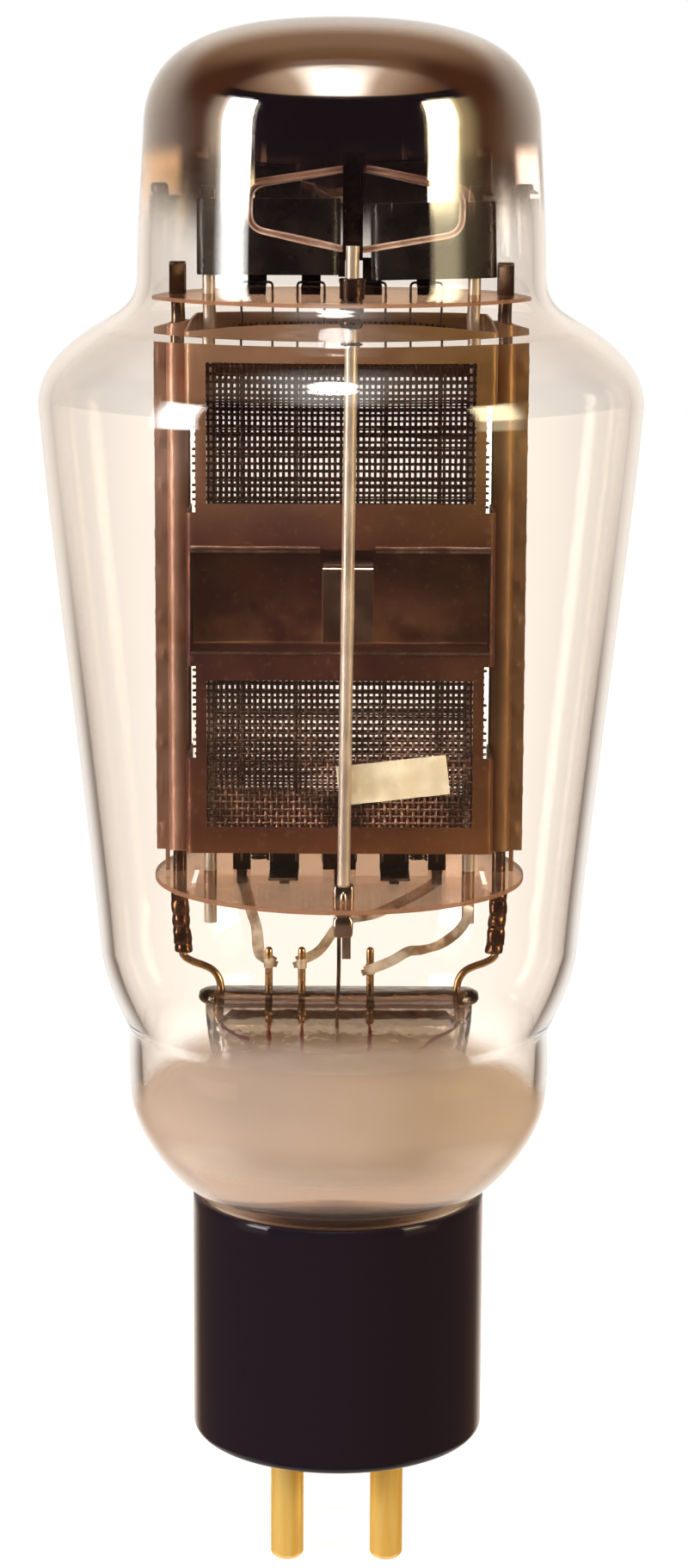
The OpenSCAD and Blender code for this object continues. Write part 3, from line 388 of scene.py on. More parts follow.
def tilted(x, z, angle):
    """The place turned in its upright plane by an angle in degrees."""
    a = math.radians(angle)
    return x * math.cos(a) - z * math.sin(a), x * math.sin(a) + z * math.cos(a)


def turned(part):
    """The part turned half round the tube's axis."""
    return (np.asarray(part[0]) * (-1, -1, 1), *part[1:])


def bar(a, b, w, t, side=(0, 1, 0)):
    return sweep([a, (np.asarray(a, float) + b) / 2, b], flat(w, t, 0.05), side=side)


def upright(x, y, z0, z1, w, t, side=(0, 1, 0)):
    return bar((x, y, z0), (x, y, z1), w, t, side)


def bent_strip(line, t, w, x, radius):
    """A strip of width w along X, bent along the (depth, height) line, with rounded bends."""
    return sweep(rounded([(x, y, z) for y, z in line], radius), flat(w, t), side=(1, 0, 0))


def racetrack(w, d, n=12):
    """Points round a flattened outline, w wide and d deep."""
    half_turn = [math.pi * i / n - math.pi / 2 for i in range(n + 1)]
    right = [((w - d) / 2 + d / 2 * math.cos(a), d / 2 * math.sin(a)) for a in half_turn]
    return right + [(-x, -y) for x, y in right]


# Surroundings
def world():
    """Studio light by direction: azimuth is 0 towards the camera and grows to the right."""
    w = bpy.data.worlds.new("studio")
    scene.world = w
    w.use_nodes = True
    g = Graph(w.node_tree)
    out = g.node("OutputWorld")
    way = g.node("TexCoord").outputs["Generated"]
    x, y, z = g.node("SeparateXYZ", {0: way}).outputs
    azimuth = g.math("DEGREES", g.math("ARCTAN2", x, g.times(y, -1.0)))
    height = g.math("DEGREES", g.math("ARCSINE", z))
    side = g.math("ABSOLUTE", azimuth)
    across = g.math("ABSOLUTE", g.plus(x, 0.045))
    front = g.step(side, 100, 60)

    # Dark room with a brown ceiling that pales overhead
    ceiling = g.step(height, 36, 38.5)
    color = g.mix(g.times(ceiling, front), (0.014, 0.0095, 0.013), (0.2, 0.095, 0.05))
    color = g.mix(g.step(height, 50, 70), color, (0.2, 0.1, 0.055))
    pale = g.times(g.step(across, 0.8, 0.15), ceiling, g.step(height, 110, 70), front)
    color = g.mix(pale, color, (0.75, 0.56, 0.42))

    # Sides and back, with a bright wall far behind
    far = g.mix(g.step(height, 38, 12), (0.3, 0.18, 0.11), (1.0, 0.92, 0.84))
    behind = g.mix(g.step(side, 112, 168), (0.085, 0.032, 0.016), far)
    color = g.mix(g.times(g.step(side, 78, 92), g.step(height, 75, 50)), color, behind)

    # Table, bright under the tube and at its sides
    table = g.mix(g.step(side, 140, 165), (0.16, 0.1, 0.07), (1.0, 0.96, 0.92))
    color = g.mix(g.step(height, -8.6, -14), color, table)
    table_side = g.times(g.step(side, 50, 80), g.step(height, -30, -42))
    bright = g.math("MAXIMUM", g.step(height, -50, -62), table_side)
    color = g.mix(bright, color, (1.0, 0.93, 0.87))

    # Window on each side, with a glow beyond it and a weaker one at its foot
    tall, foot = g.band(height, -7.5, 27, 0.8, 1.5), g.band(height, -14.5, -8, 1.0)
    left = ((-94, -74), (-77, -70), (-55, -57), 1.0, (0.7, 0.55, 0.42), (0.85, 0.62, 0.54), (14, 14, 14))
    right = ((94, 74), (75, 66), (51.5, 54.5), g.step(height, 1, 8, 0.25, 1.0),
             (0.5, 0.38, 0.2), (0.65, 0.43, 0.2), (15, 13, 8.5))
    for glow_edge, window_edge, near_edge, fade, glow, foot_glow, light in (left, right):
        near = g.step(azimuth, *near_edge)
        beside_it = g.times(g.step(azimuth, *glow_edge), near)
        color = g.mix(g.times(beside_it, tall), color, glow)
        color = g.mix(g.times(beside_it, foot), color, foot_glow)
        color = g.mix(g.times(g.step(azimuth, *window_edge), near, tall, fade), color, light)

    # Soft panel overhead and a small round lamp
    panel = g.times(g.band(height, 38, 80, 1.5, 18), g.step(across, 0.36, 0.1), front)
    color = g.mix(panel, color, (2.4, 2.3, 2.2))
    lamp_way = (-0.04, -0.406, 0.913)
    to_lamp = g.node("VectorMath", {0: way, 1: lamp_way}, operation="DOT_PRODUCT").outputs["Value"]
    color = g.mix(g.step(g.math("DEGREES", g.math("ARCCOSINE", to_lamp)), 8, 6), color, (30, 29, 28))
    color = g.mix(g.direct(), color, (1, 1, 1))
    g.put(out.inputs[0], g.first("Background", color, 1.0))


def floor():
    """Pale floor just under the pins, which rays straight from the camera don't see."""
    f = Finish("floor")
    glow = f.first("Emission", (1, 1, 1), 0.93)
    lit = f.first("AddShader", f.first("BsdfDiffuse", (0.25, 0.25, 0.25)), glow)
    material = f.done(f.mix_shader(f.direct(), f.first("BsdfTransparent"), lit))
    half, z = 1600 * MM, -(PIN_LEN + 0.02) * MM
    mesh = bpy.data.meshes.new("floor")
    corners = [(x * half, y * half, z) for x, y in ((-1, -1), (1, -1), (1, 1), (-1, 1))]
    mesh.from_pydata(corners, [], [(0, 1, 2, 3)])
    mesh.materials.append(material)
    o = bpy.data.objects.new("floor", mesh)
    scene.collection.objects.link(o)


def lamp(name, place, size, power, color):
    """A soft light aimed at the tube, which shows in no reflection."""
    data = bpy.data.lights.new(name, "AREA")
    data.shape = "RECTANGLE"
    data.size, data.size_y = size
    data.energy = power
    data.color = color
    o = bpy.data.objects.new(name, data)
    o.location = place
    o.rotation_mode = "QUATERNION"
    o.rotation_quaternion = (Vector((0, 0, 0.08)) - Vector(place)).to_track_quat("-Z", "Y")
    o.visible_camera = False
    o.visible_glossy = False
    o.visible_transmission = False
    scene.collection.objects.link(o)


# Base and glass
BASE_R, BASE_H, BASE_WALL = 17.35, 29.8, 1.6
PIN_X, PIN_Y, PIN_LEN = 5.945, 5.55, 14.7
THICK_PIN_R, THIN_PIN_R = 1.98, 1.59
GLASS = 1.5
CREASE_Z, TAPER_Z, BULB_Z, NECK_Z, DOME_Z, DOME_H = 50.6, 60.6, 123.7, 138.2, 154.5, 12.4
CREASE_R, TAPER_R, BULB_R, NECK_R, DOME_R = 25.0, 28.2, 34.7, 23.3, 22.55
RIM_R, SEAL_R, SEAL_Z = 16.35, 14.9, 12.0
PRESS_W, PRESS_D, PRESS_TOP, PRESS_FOOT = 33.5, 6.2, 54.3, 52.4
FLARE_R, FLARE_TOP = 12.3, 30.8
LEAD_FOOT = 50.3
GLASS_TINT = (0.98, 0.935, 0.885)


def plain_glass():
    f = Finish("glass")
    return f.done_shadowless(f.glass(GLASS_TINT))


def dome_glass():
    """Glass with the mirror film that the getter left inside the dome."""
    f = Finish("getter_film")
    cloudy = f.times(f.minus(f.noise(5, 3), 0.5), 3.0)
    cover = f.step(f.plus(f.plus(f.z, cloudy), f.step(f.y, -2, 20, 0.0, 6.0)), 143.5, 152)
    rough = f.step(f.math("ABSOLUTE", f.x), 14, 19, 0.025, 0.22)
    film = f.first("BsdfAnisotropic", (0.72, 0.68, 0.64), rough)
    thin = f.first("BsdfTransparent", (0.95, 0.72, 0.62))
    full = f.math("MAXIMUM", f.step(f.z, 150.5, 153.5, 0.5, 1.0), f.step(f.y, -8, 2))
    return f.done_shadowless(f.mix_shader(cover, f.glass(GLASS_TINT), f.mix_shader(full, thin, film)))


def bowl_glass():
    """Glass with the milky film in the lower bowl, which shines low down in front."""
    f = Finish("bowl_film")
    edge = f.plus(f.step(f.y, 25, -5, -3.0, -4.0), f.step(f.y, -3, -24, 0.0, 11.0))
    wisps = f.times(f.minus(f.noise(9, 2), 0.5), 2.0)
    cover = f.step(f.minus(f.minus(f.z, edge), wisps), 48.6, 44.5, 0.0, 0.93)
    tone = f.mix(f.step(f.z, 34, 48), (0.6, 0.49, 0.42), (0.36, 0.285, 0.24))
    clouds = f.step(f.noise(11, 3, 0.5, f.stretched(1, 1, 1.6)), 0.35, 0.65, 0.0, 0.25)
    tone = f.mix(clouds, tone, (0.44, 0.33, 0.255))
    tone = f.mix(f.step(f.x, -16, 22, 0.0, 0.4), tone, (0.45, 0.34, 0.24))
    milky = f.mix_shader(0.35, f.first("BsdfDiffuse", tone), f.first("BsdfTranslucent", tone))
    shine = f.mix(f.step(f.x, -14, 20), (0.68, 0.5, 0.39), (0.6, 0.43, 0.3))
    low_front = f.times(f.step(f.z, 38.5, 35.5, 0.0, 0.95), f.step(f.y, -9, -13.5))
    film = f.mix_shader(low_front, milky, f.first("BsdfAnisotropic", shine, 0.05))
    return f.done_shadowless(f.mix_shader(cover, f.glass((0.99, 0.95, 0.9)), film))


def stem_glass():
    f = Finish("stem_glass")
    # The glass above z 52.6 is tinted dark: painted shade on the top of the press.
    tint = f.mix(f.step(f.z, 51.4, 52.6), (0.6, 0.53, 0.45), (0.13, 0.08, 0.06))
    return f.done_shadowless(f.glass(tint, Normal=f.bump(f.noise(2.4, 2), 0.5, 0.5)))


def beside(line, d):
    """The (radius, height) line moved sideways by d, to the right of its direction."""
    p = np.asarray(line, float)
    t = unit(np.diff(p, axis=0))
    a, b = np.vstack([t[:1], t]), np.vstack([t, t[-1:]])
    m = np.stack([a[:, 1] + b[:, 1], -a[:, 0] - b[:, 0]], 1)
    return p + m * d * 2 / (m * m).sum(1)[:, None]


def envelope():
    """Bulb of one thickness. Its inner faces have look 1, the dome's film, and 2, the bowl's film."""
    top = DOME_Z + DOME_H
    # Two handles, the end and the number of steps of each curve, from the dome's top down to the seal
    curves = (
        ((DOME_R * 0.62, top), (DOME_R * 0.993, DOME_Z + DOME_H * 0.77), (DOME_R, DOME_Z), 28),
        ((DOME_R + 0.25, DOME_Z - 5), (NECK_R, NECK_Z + 5), (NECK_R, NECK_Z), 8),
        ((NECK_R + 0.15, NECK_Z - 3.3), (NECK_R + 1.6, NECK_Z - 4.1), (NECK_R + 4.9, NECK_Z - 5.9), 16),
        ((NECK_R + 7.9, NECK_Z - 7.9), (BULB_R - 0.2, BULB_Z + 4.2), (BULB_R, BULB_Z), 16),
        ((BULB_R - 0.35, BULB_Z - 8.8), (TAPER_R + 1, TAPER_Z + 13.5), (TAPER_R, TAPER_Z), 24),
        ((TAPER_R - 0.2, TAPER_Z - 3), (CREASE_R + 1.9, CREASE_Z + 3.7), (CREASE_R, CREASE_Z), 16),
        ((CREASE_R - 0.5, CREASE_Z - 1.4), (CREASE_R + 0.2, CREASE_Z - 4),
         (CREASE_R - 0.4, CREASE_Z - 9.2), 16),
        ((CREASE_R - 1, BASE_H + 7.6), (RIM_R + 4.3, BASE_H + 3.2), (RIM_R + 0.65, BASE_H + 0.4), 16),
        ((SEAL_R + 0.7, BASE_H - 0.7), (SEAL_R, BASE_H - 2.2), (SEAL_R, BASE_H - 4.3), 10),
    )
    outer = [(0, top)]
    for near, far, end, steps in curves:
        outer += [tuple(p) for p in curve(outer[-1], near, far, end, steps)[1:]]
    outer.append((SEAL_R, SEAL_Z))
    inner = beside(outer, GLASS)
    inner = inner[np.argmax(inner[:, 0] > 0.3):]
    inner = [(0, inner[0][1] + 0.002)] + [tuple(p) for p in inner]
    segments, dome_film, bowl_film = 200, 139, 57
    verts, faces = lathe(outer + inner[::-1], segments)
    first_inner = 1 + (len(outer) - 1) * segments
    looks = []
    for f in faces:
        z = np.mean([verts[i][2] for i in f])
        looks.append(0 if min(f) < first_inner else 1 if z > dome_film else 2 if z < bowl_film else 0)
    return verts, faces, looks


def stem_half(z):
    """Half width and half depth of the stem between the press and the flare."""
    u = (PRESS_FOOT - z) / (PRESS_FOOT - FLARE_TOP)
    s = u * u * (3 - 2 * u)
    w, d = PRESS_W / 2 - 0.8, PRESS_D / 2 - 0.5
    return w + (FLARE_R - w) * s, d + (FLARE_R - d) * s


def stem():
    """Flat press on a hollow flare, whose lip is sealed to the foot of the bulb."""
    w, d, wall = PRESS_W / 2, PRESS_D / 2, 1.2
    lip = SEAL_R - GLASS - 0.05
    cap = [(w * 0.3, 0.25, 0), (w - 1.6, d - 1.2, 0), (w - 0.7, d - 0.6, 0.18), (w - 0.15, d - 0.15, 0.6),
           (w, d, 1.2), (w - 0.15, d - 0.12, 1.55)]
    cap = [(hw, hd, PRESS_TOP - drop) for hw, hd, drop in cap]
    blend = [(*stem_half(z), z) for z in np.linspace(PRESS_FOOT, FLARE_TOP, 20)]
    foot = [(FLARE_R, 12), (FLARE_R, 6), (FLARE_R + 0.02, 3), (FLARE_R + 0.3, 1), (lip, 0.1), (SEAL_R, 0),
            (SEAL_R, -1.5), (FLARE_R - 0.3, -0.6), (FLARE_R - 1, 1), (FLARE_R - wall, 3)]
    foot = [(r, r, SEAL_Z + rise) for r, rise in foot]
    hollow = [(hw - wall, hd - wall, z) for hw, hd, z in blend[::-1][:-2]] + [(w - 4, 0.3, PRESS_FOOT - 0.8)]
    sizes = cap + blend + foot + hollow
    rings = [[(x, y, z) for x, y in racetrack(2 * hw, 2 * hd, 28)] for hw, hd, z in sizes]
    faces = skin(len(rings), len(rings[0]))
    return [p for r in rings for p in r], [f[:1] + f[:0:-1] for f in faces]


def base_material():
    f = Finish("base")
    rough = f.step(f.noise(3, 3), 0.3, 0.7, 0.02, 0.04)
    return f.done(f.principled(Base_Color=(0.0095, 0.006, 0.0095), Roughness=rough, IOR=1.5,
                               Specular_IOR_Level=0.22, Sheen_Weight=0.6, Sheen_Roughness=0.2,
                               Sheen_Tint=(1.0, 0.62, 0.32), Normal=f.bump(f.noise(0.9, 3), 0.04, 0.05)))


def rounded_edge(r, z, size, n):
    """Lower edge of a turned piece, from its flat end at height z out to radius r, in n points."""
    turns = np.linspace(0, math.pi / 2, n)
    return [(r - size * (1 - math.sin(a)), z + size * (1 - math.cos(a))) for a in turns]


def base():
    """Base shell, with rings near the ends of its wall that keep the shading there even."""
    r, h, bore = BASE_R, BASE_H, BASE_R - BASE_WALL
    wall = [(r, 2.4), (r, h - 1.4), (r, h - 0.35), (r - 0.05, h - 0.15), (r - 0.18, h - 0.03), (r - 0.35, h)]
    inner = [(r - 0.6, h), (r - 0.67, h - 0.1), (bore, h - 3.2), (bore, 3), (0, 3)]
    return lathe([(0, 0.02)] + rounded_edge(r, 0, 1.2, 9) + wall + inner, 192)


def pin_gold():
    f = Finish("pin_gold")
    streaks = f.step(f.noise(1.2, 3, 0.5, f.stretched(1, 1, 0.12)), 0.35, 0.65)
    tone = f.mix(streaks, (0.96, 0.58, 0.13), (1.0, 0.68, 0.2))
    return f.done(f.principled(Base_Color=tone, Roughness=0.24, Metallic=0.5))


def pin(x, y, r):
    top, wall, sole = 3.8, 0.55, -PIN_LEN + 2
    nose = rounded_edge(r, -PIN_LEN, r * 0.45, 10)
    profile = [(0, -PIN_LEN)] + nose + [(r, 0), (r, top), (r - wall, top), (r - wall, sole), (0, sole)]
    return lathe(profile, 64, (x * PIN_X, y * PIN_Y, 0))


# Anode
FACE_X, FACE_Y, SHEET, CORNER = 17.3, 9.5, 0.3, 0.6
POST_X, GRID_X, CHANNEL_R, FLANGE_X = 18.8, 15.2, 1.15, 21.5
ANODE_FOOT, BACK_FOOT, ANODE_TOP, FLANGE_FOOT = 72.8, 71.55, 131.2, 71.3
WINDOW_X, SLOT_X, TRAY_X = 15.1, 16.4, 16.9
WINDOWS = ((75.85, 92.85), (113.0, 129.0))
SLOTS = ((83.9, 94.5), (112.0, 124.2))
BACK_WINDOWS = (WINDOWS[0], (111.0, 127.4))
BACK_SLOTS = ((80.4, 93.2), (109.8, 123.6))
WAIST = (95.9, 107.8)
RECESS_Y = 3.5
BRACKET_X, BRACKET_W = 0.85, 5.7
BRACKET_GAP = (BRACKET_X - BRACKET_W / 2 - 0.3, BRACKET_X + BRACKET_W / 2 + 0.3)
MICA_LOW, MICA_UP = (68.3, 68.8), (135.2, 135.7)


def anode_plan():
    """Plan of the left half of the front sheet, from the flange to the middle of the face."""
    lift = SHEET / 2
    start = math.asin(lift / CHANNEL_R)
    turns = np.linspace(start, math.pi - start, 17)
    corner_x, corner_y = FACE_X - CORNER, FACE_Y - CORNER
    plan = [(x, -lift) for x in np.linspace(-FLANGE_X, -POST_X - CHANNEL_R - 0.02, 12)]
    plan += [(-POST_X - CHANNEL_R * math.cos(a), -CHANNEL_R * math.sin(a)) for a in turns]
    plan += [(-FACE_X - 0.12, -lift - 0.02)]
    plan += [(-FACE_X - 0.02 + 0.02 * i / 8, y) for i, y in enumerate(np.linspace(-0.3, -corner_y, 12))][:-1]
    plan += [(-corner_x - CORNER * math.cos(a), -corner_y - CORNER * math.sin(a))
             for a in np.radians((0, 18, 36, 54, 70.5, 90))]
    return plan + [(x, -FACE_Y) for x in between([-corner_x, -WINDOW_X, 0], 0.52)[1:]]


def anode_shell(seed, foot, windows, slots):
    """Pressed sheet with its flanges, post channels, side walls and pierced face."""
    rnd = random.Random(seed)
    left = anode_plan()
    plan = np.array(left + [(-x, y) for x, y in left[-2::-1]])
    stops = [FLANGE_FOOT, foot, *WAIST, ANODE_TOP] + [z for pair in (*windows, *slots) for z in pair]
    x, z = np.meshgrid(plan[:, 0], between(sorted(stops), 0.5), indexing="ij")
    y = np.repeat(plan[:, 1:], z.shape[1], 1)
    across, depth, height = np.abs(middles(x)), middles(y), middles(z)
    keep = ~((height < foot) & (depth < -1.6))
    for window in windows:
        keep &= ~(inside(height, window) & (across < WINDOW_X) & (depth < -9))
    for slot in slots:
        keep &= ~(inside(height, slot) & inside(across, (SLOT_X, 17.5)) & (depth < -0.1))
    keep &= ~(inside(height, WAIST) & (across < TRAY_X) & (depth < -8.9))

    # Soft dents in the face, and spot welds with a rim along the flanges
    flange_x, edge_x, rolled_z = 19.9, 20.6, 128.5
    face = np.clip((-y - 6) / 3, 0, 1)
    flange = np.clip((np.abs(x) - flange_x) / 0.3, 0, 1)
    y = y + face * (0.07 * np.sin(0.31 * x + 0.23 * z + seed) + 0.05 * np.sin(0.9 * z + 0.12 * x))
    y = y + face * 0.12 * np.clip((z - rolled_z) / 3, 0, 1) * np.cos(x / 6)
    weld_x, weld_pitch, weld_rim = 20.75, 5.1, 0.62
    for s in (-1, 1):
        at = FLANGE_FOOT + 2.2
        while at < ANODE_TOP - 1:
            r = np.hypot(x - s * (weld_x + rnd.uniform(-0.15, 0.15)), z - at)
            y = y - flange * (0.3 * np.exp(-r ** 2 / 0.1) + 0.12 * np.exp(-((r - weld_rim) / 0.18) ** 2))
            at += weld_pitch + rnd.uniform(-0.5, 0.5)
    y = y - flange * 0.06 * np.sin(0.8 * z + 2) * np.clip((np.abs(x) - edge_x) / 0.9, 0, 1)
    y = np.minimum(y, -SHEET / 2 - 0.002)
    return sheet(np.stack([x, y, z], 2)[::-1], keep[::-1], SHEET)


def anode_tray():
    """Recess at the waist with dimples in its wall, open at the top where the bracket passes."""
    top, sill, mouth = WAIST[1] - SHEET / 2, WAIST[0] + SHEET / 2, -9.85
    corners = [(0, mouth, top), (0, -RECESS_Y, top), (0, -RECESS_Y, sill), (0, mouth, sill)]
    line = split(rounded(corners, 0.6, 6), 0.45)
    z, x = np.meshgrid(line[:, 2], between([-TRAY_X, *BRACKET_GAP, TRAY_X], 0.45), indexing="ij")
    y = np.repeat(line[:, 1:2], x.shape[1], 1)
    there = ~(inside(middles(x), BRACKET_GAP) & (middles(y) < -4.5) & (middles(z) > top - 1))
    wall = np.clip((y + 4.2) / 0.5, 0, 1)
    y = y + wall * 0.06 * np.sin(0.5 * x + 1.1 * z)
    dimple_r = 0.6
    for px, pz in ((15.4, 98.5), (15.4, 105.1), (7.4, 98.3)):
        for s in (-1, 1):
            y = y - wall * 0.22 * np.exp(-((np.hypot(x - s * px, z - pz) - dimple_r) / 0.24) ** 2)
    return sheet(np.stack([x, y, z], 2), there, SHEET)


def anode_half(seed, foot, windows, slots):
    """Half of the anode with its hems and feet. The front edges of the waist have look 1, a lighter metal
    that is a painted highlight.
    """
    shell = anode_shell(seed, foot, windows, slots)
    parts = [shell, anode_tray()]
    hem_z, leg_x, leg_top = WAIST[1] + 0.12 + SHEET / 2, 20.25, 73.8
    for a, b in ((-TRAY_X, BRACKET_GAP[0]), (BRACKET_GAP[1], TRAY_X)):
        x = np.linspace(a, b, 20)
        line = np.stack([x, -9.68 + 0.03 * np.sin(x), hem_z + 0.03 * np.sin(0.7 * x)], 1)
        parts.append(sweep(line, flat(0.62, SHEET, 0.09)))
    for s in (-1, 1):
        parts.append(upright(s * leg_x, -SHEET / 2, MICA_LOW[1], leg_top, 0.28, 0.5))
    verts, faces = joined(*parts)
    # Look 1, the painted highlight, goes on the front edges of the waist.
    looks = [int(i >= len(shell[1]) and verts[list(f), 1].mean() < -9.3) for i, f in enumerate(faces)]
    return verts, faces, looks


def weave(window, seed, behind=False):
    """Woven wire behind a window: upright wires, and level wires with cut ends. The back one is a little
    wider apart, so that its gaps line up with the front one's as the photograph shows them."""
    rnd = random.Random(seed)
    step_x, step_z, wire, width = 0.647, 0.806, 0.34, 32.6
    left, foot, limit = -16.2, window[0] - 1.2, 17.08
    rows = int((window[1] - window[0] + 2.5) / step_z) + 1
    if behind:
        spread, level, low_spread = 1.0453, 156.47, 1.014
        top = level + (foot + (rows - 1) * step_z - level) * spread
        step_x, left = step_x * spread, left * spread
        step_z *= spread if window is WINDOWS[1] else low_spread
        rows = int((top - window[0] + 3.2) / step_z) + 1
        foot = top - (rows - 1) * step_z
    over = wire * 0.5
    depth = -(FACE_Y - SHEET / 2) + wire + 0.03
    columns = int(width / step_x) + 1
    parts = []
    shift = [rnd.uniform(-0.015, 0.015) for _ in range(columns)]
    for i in range(columns):
        t = np.arange(-1, 3 * rows) / 3
        x = left + i * step_x + shift[i] + 0.02 * np.sin(t * 0.7 + i)
        y = depth + over * (-1) ** i * np.cos(math.pi * t)
        parts.append(sweep(np.stack([x, y, foot + t * step_z], 1), ring(wire / 2, 5), side=(1, 0, 0)))
    for j in range(rows):
        ends = [rnd.choice((-2, -2, -1)), 3 * columns + rnd.choice((-1, 0, 0))]
        t = np.arange(*ends) / 3
        z = foot + j * step_z + rnd.uniform(-0.02, 0.02) + 0.02 * np.sin(t * 0.5 + j)
        y = depth - over * (-1) ** j * np.cos(math.pi * t)
        x = np.clip(left + t * step_x, -limit, limit)
        parts.append(sweep(np.stack([x, y, z], 1), ring(wire / 2, 5), side=(0, 0, 1)))
    return joined(*parts)


# Supports
ROD_FOOT, ROD_TOP, ROD_Y, ROD_R = (0.45, 64.2), (1.2, 141.9), -14.5, 0.73
ROD_BACK = ROD_Y + ROD_R + 0.02


def on_rod(z, dx=0.0, dy=0.0):
    """The point of the leaning centre rod's axis at height z, moved by dx and dy."""
    share = (z - ROD_FOOT[1]) / (ROD_TOP[1] - ROD_FOOT[1])
    return np.array((ROD_FOOT[0] + (ROD_TOP[0] - ROD_FOOT[0]) * share + dx, ROD_Y + dy, z))


def bracket():
    back, front, top = -RECESS_Y - SHEET, ROD_BACK + 0.16, WAIST[1] - 1.5
    line = [(back, top - 2.2), (back, top), (front, top), (front, WAIST[0] + 2)]
    return bent_strip(line, SHEET, BRACKET_W, BRACKET_X, 0.45)


def sleeve(s):
    """Crimped sleeve under a post, leaning a little towards the middle at its foot."""
    foot, bend, top, radius = 58.9, 64.5, 66.1, 1.08
    sides, rows = 36, 60
    crimps = [(59.9, 0.7), (61.9, 1.0), (63.4, 0.8), (65.2, 0.5)]
    verts = []
    for i in range(rows + 1):
        z = foot + (top - foot) * i / rows
        lean = -s * 0.45 * max(0.0, (bend - z) / (bend - foot)) ** 1.3
        bevel = 0.08 if i in (0, rows) else 0
        for a in TAU * np.arange(sides) / sides:
            r = radius + 0.04 * math.sin(3 * a + z * 2) - bevel
            around = 0.2 * (0.35 + 0.65 * abs(math.sin(a + 0.4)))
            r -= around * sum(deep * math.exp(-((z - at) / 0.28) ** 2) for at, deep in crimps)
            verts.append((s * POST_X + lean + r * math.cos(a), r * math.sin(a), z))
    return verts, skin(rows + 1, sides)


def cap(s):
    """Strip folded over a post's top, with a welded tab."""
    x, half, foot, top = s * POST_X, 1.0, MICA_UP[1], MICA_UP[1] + 3.75
    body = bent_strip([(-half, foot), (-half, top), (half, top), (half, foot)], 0.3, 1.8, x, 0.4)
    y, z = -half - 0.2, top - 0.25
    return joined(body, bar((x - 0.35, y, z), (x + 0.45, y, z), 0.5, 0.28, (0, 0, 1)))


# Left end, right end, foot, tilt in degrees and phase of the waves of each fin
FINS = {"left": (-16.6, -0.1, 138.1, 0, 1), "right": (3.4, 17.8, 137.7, 1.5, 2)}
# Side and foot of each clip
CLIPS = {"left": (-1, 146.7), "right": (1, 146.42)}


def fin(x0, x1, z, tilt, phase):
    """Flattened sleeve around a grid rod."""
    wall, height, depth, bevel = 0.3, 8.6, 2.6, 0.05
    half = (x1 - x0 - depth) / 2
    rows = between([0, 0.06, height - 0.06, height], 0.6)
    line = split(racetrack(x1 - x0, depth), 0.8, closed=True)
    verts = []
    for inner, heights in ((False, rows), (True, rows[::-1])):
        for h in heights:
            inward = bevel if h in (0, height) else 0.0
            if inner:
                inward = wall - inward
            for x, y in line:
                out = unit(np.array((x - math.copysign(min(abs(x), half), x), y)))
                wave = 0.05 * math.sin(0.9 * x + 0.7 * h + phase) if abs(y) > 1 else 0
                px, py = (x, y) + out * (wave - inward)
                across, up = tilted(px, h, tilt)
                verts.append(((x0 + x1) / 2 + across, py, z + up))
    return verts, skin(2 * len(rows), len(line), closed=True)


def clip(s, z):
    """Folded clip on a grid rod's end."""
    x, half, top = s * GRID_X, 0.95, 148.0
    line = [(-half, z), (-half, top - 0.1), (0, top), (half, top - 0.15), (half, top - 1.0)]
    path = rounded([(x + 0.1 * s * (h - z), y, h) for y, h in line], 0.4)
    fold = sweep(path, flat(1.5, 0.3, 0.07), side=(1, 0, 0))
    if s < 0:
        return joined(fold, bar((x - 0.9, -0.3, z + 0.25), (x + 0.5, -0.3, z + 0.3), 0.8, 0.3))
    return joined(fold, bar((x + 0.6, 0, top - 0.5), (x + 2.1, 0, top - 0.9), 1.2, 0.3))


# Filament and grid
HAIRPINS = ((-9.7, 3.6), (-3.5, 3.1), (3.5, 3.1), (9.7, 3.6))
STRANDS = [middle + side * width / 2 for middle, width in HAIRPINS for side in (-1, 1)]
BAR_Y = 0.36
END_BAR_W = 2.1
BARS = [(STRANDS[0], END_BAR_W), ((STRANDS[1] + STRANDS[2]) / 2, STRANDS[2] - STRANDS[1] + 0.6),
        (0.0, STRANDS[4] - STRANDS[3]), ((STRANDS[5] + STRANDS[6]) / 2, STRANDS[6] - STRANDS[5] + 0.6),
        (STRANDS[7], END_BAR_W)]


def filament():
    """Four hairpins, each over a hook."""
    parts = []
    r, foot, top = 0.14, MICA_LOW[1] + 1, MICA_UP[1] + 1.56
    for x, width in HAIRPINS:
        a, b = x - width / 2, x + width / 2
        line = rounded([(a, 0, foot), (a, 0, top), (b, 0, top), (b, 0, foot)], 0.5, 6)
        line = [q for p, n in zip(line, line[1:]) for q in (p, (p + n) / 2)] + [line[-1]]
        parts.append(sweep(line, ring(r, 8)))
    return joined(*parts)


def hooks():
    foot, shelf, tip = MICA_UP[1] + 0.15, MICA_UP[1] + 1.15, MICA_UP[1] + 4.3
    line = [(-2.0, foot), (-1.4, foot), (-1.4, shelf), (1.6, shelf), (1.6, tip)]
    return joined(*[bent_strip(line, 0.3, 2.2, x, 0.25) for x, _ in HAIRPINS])


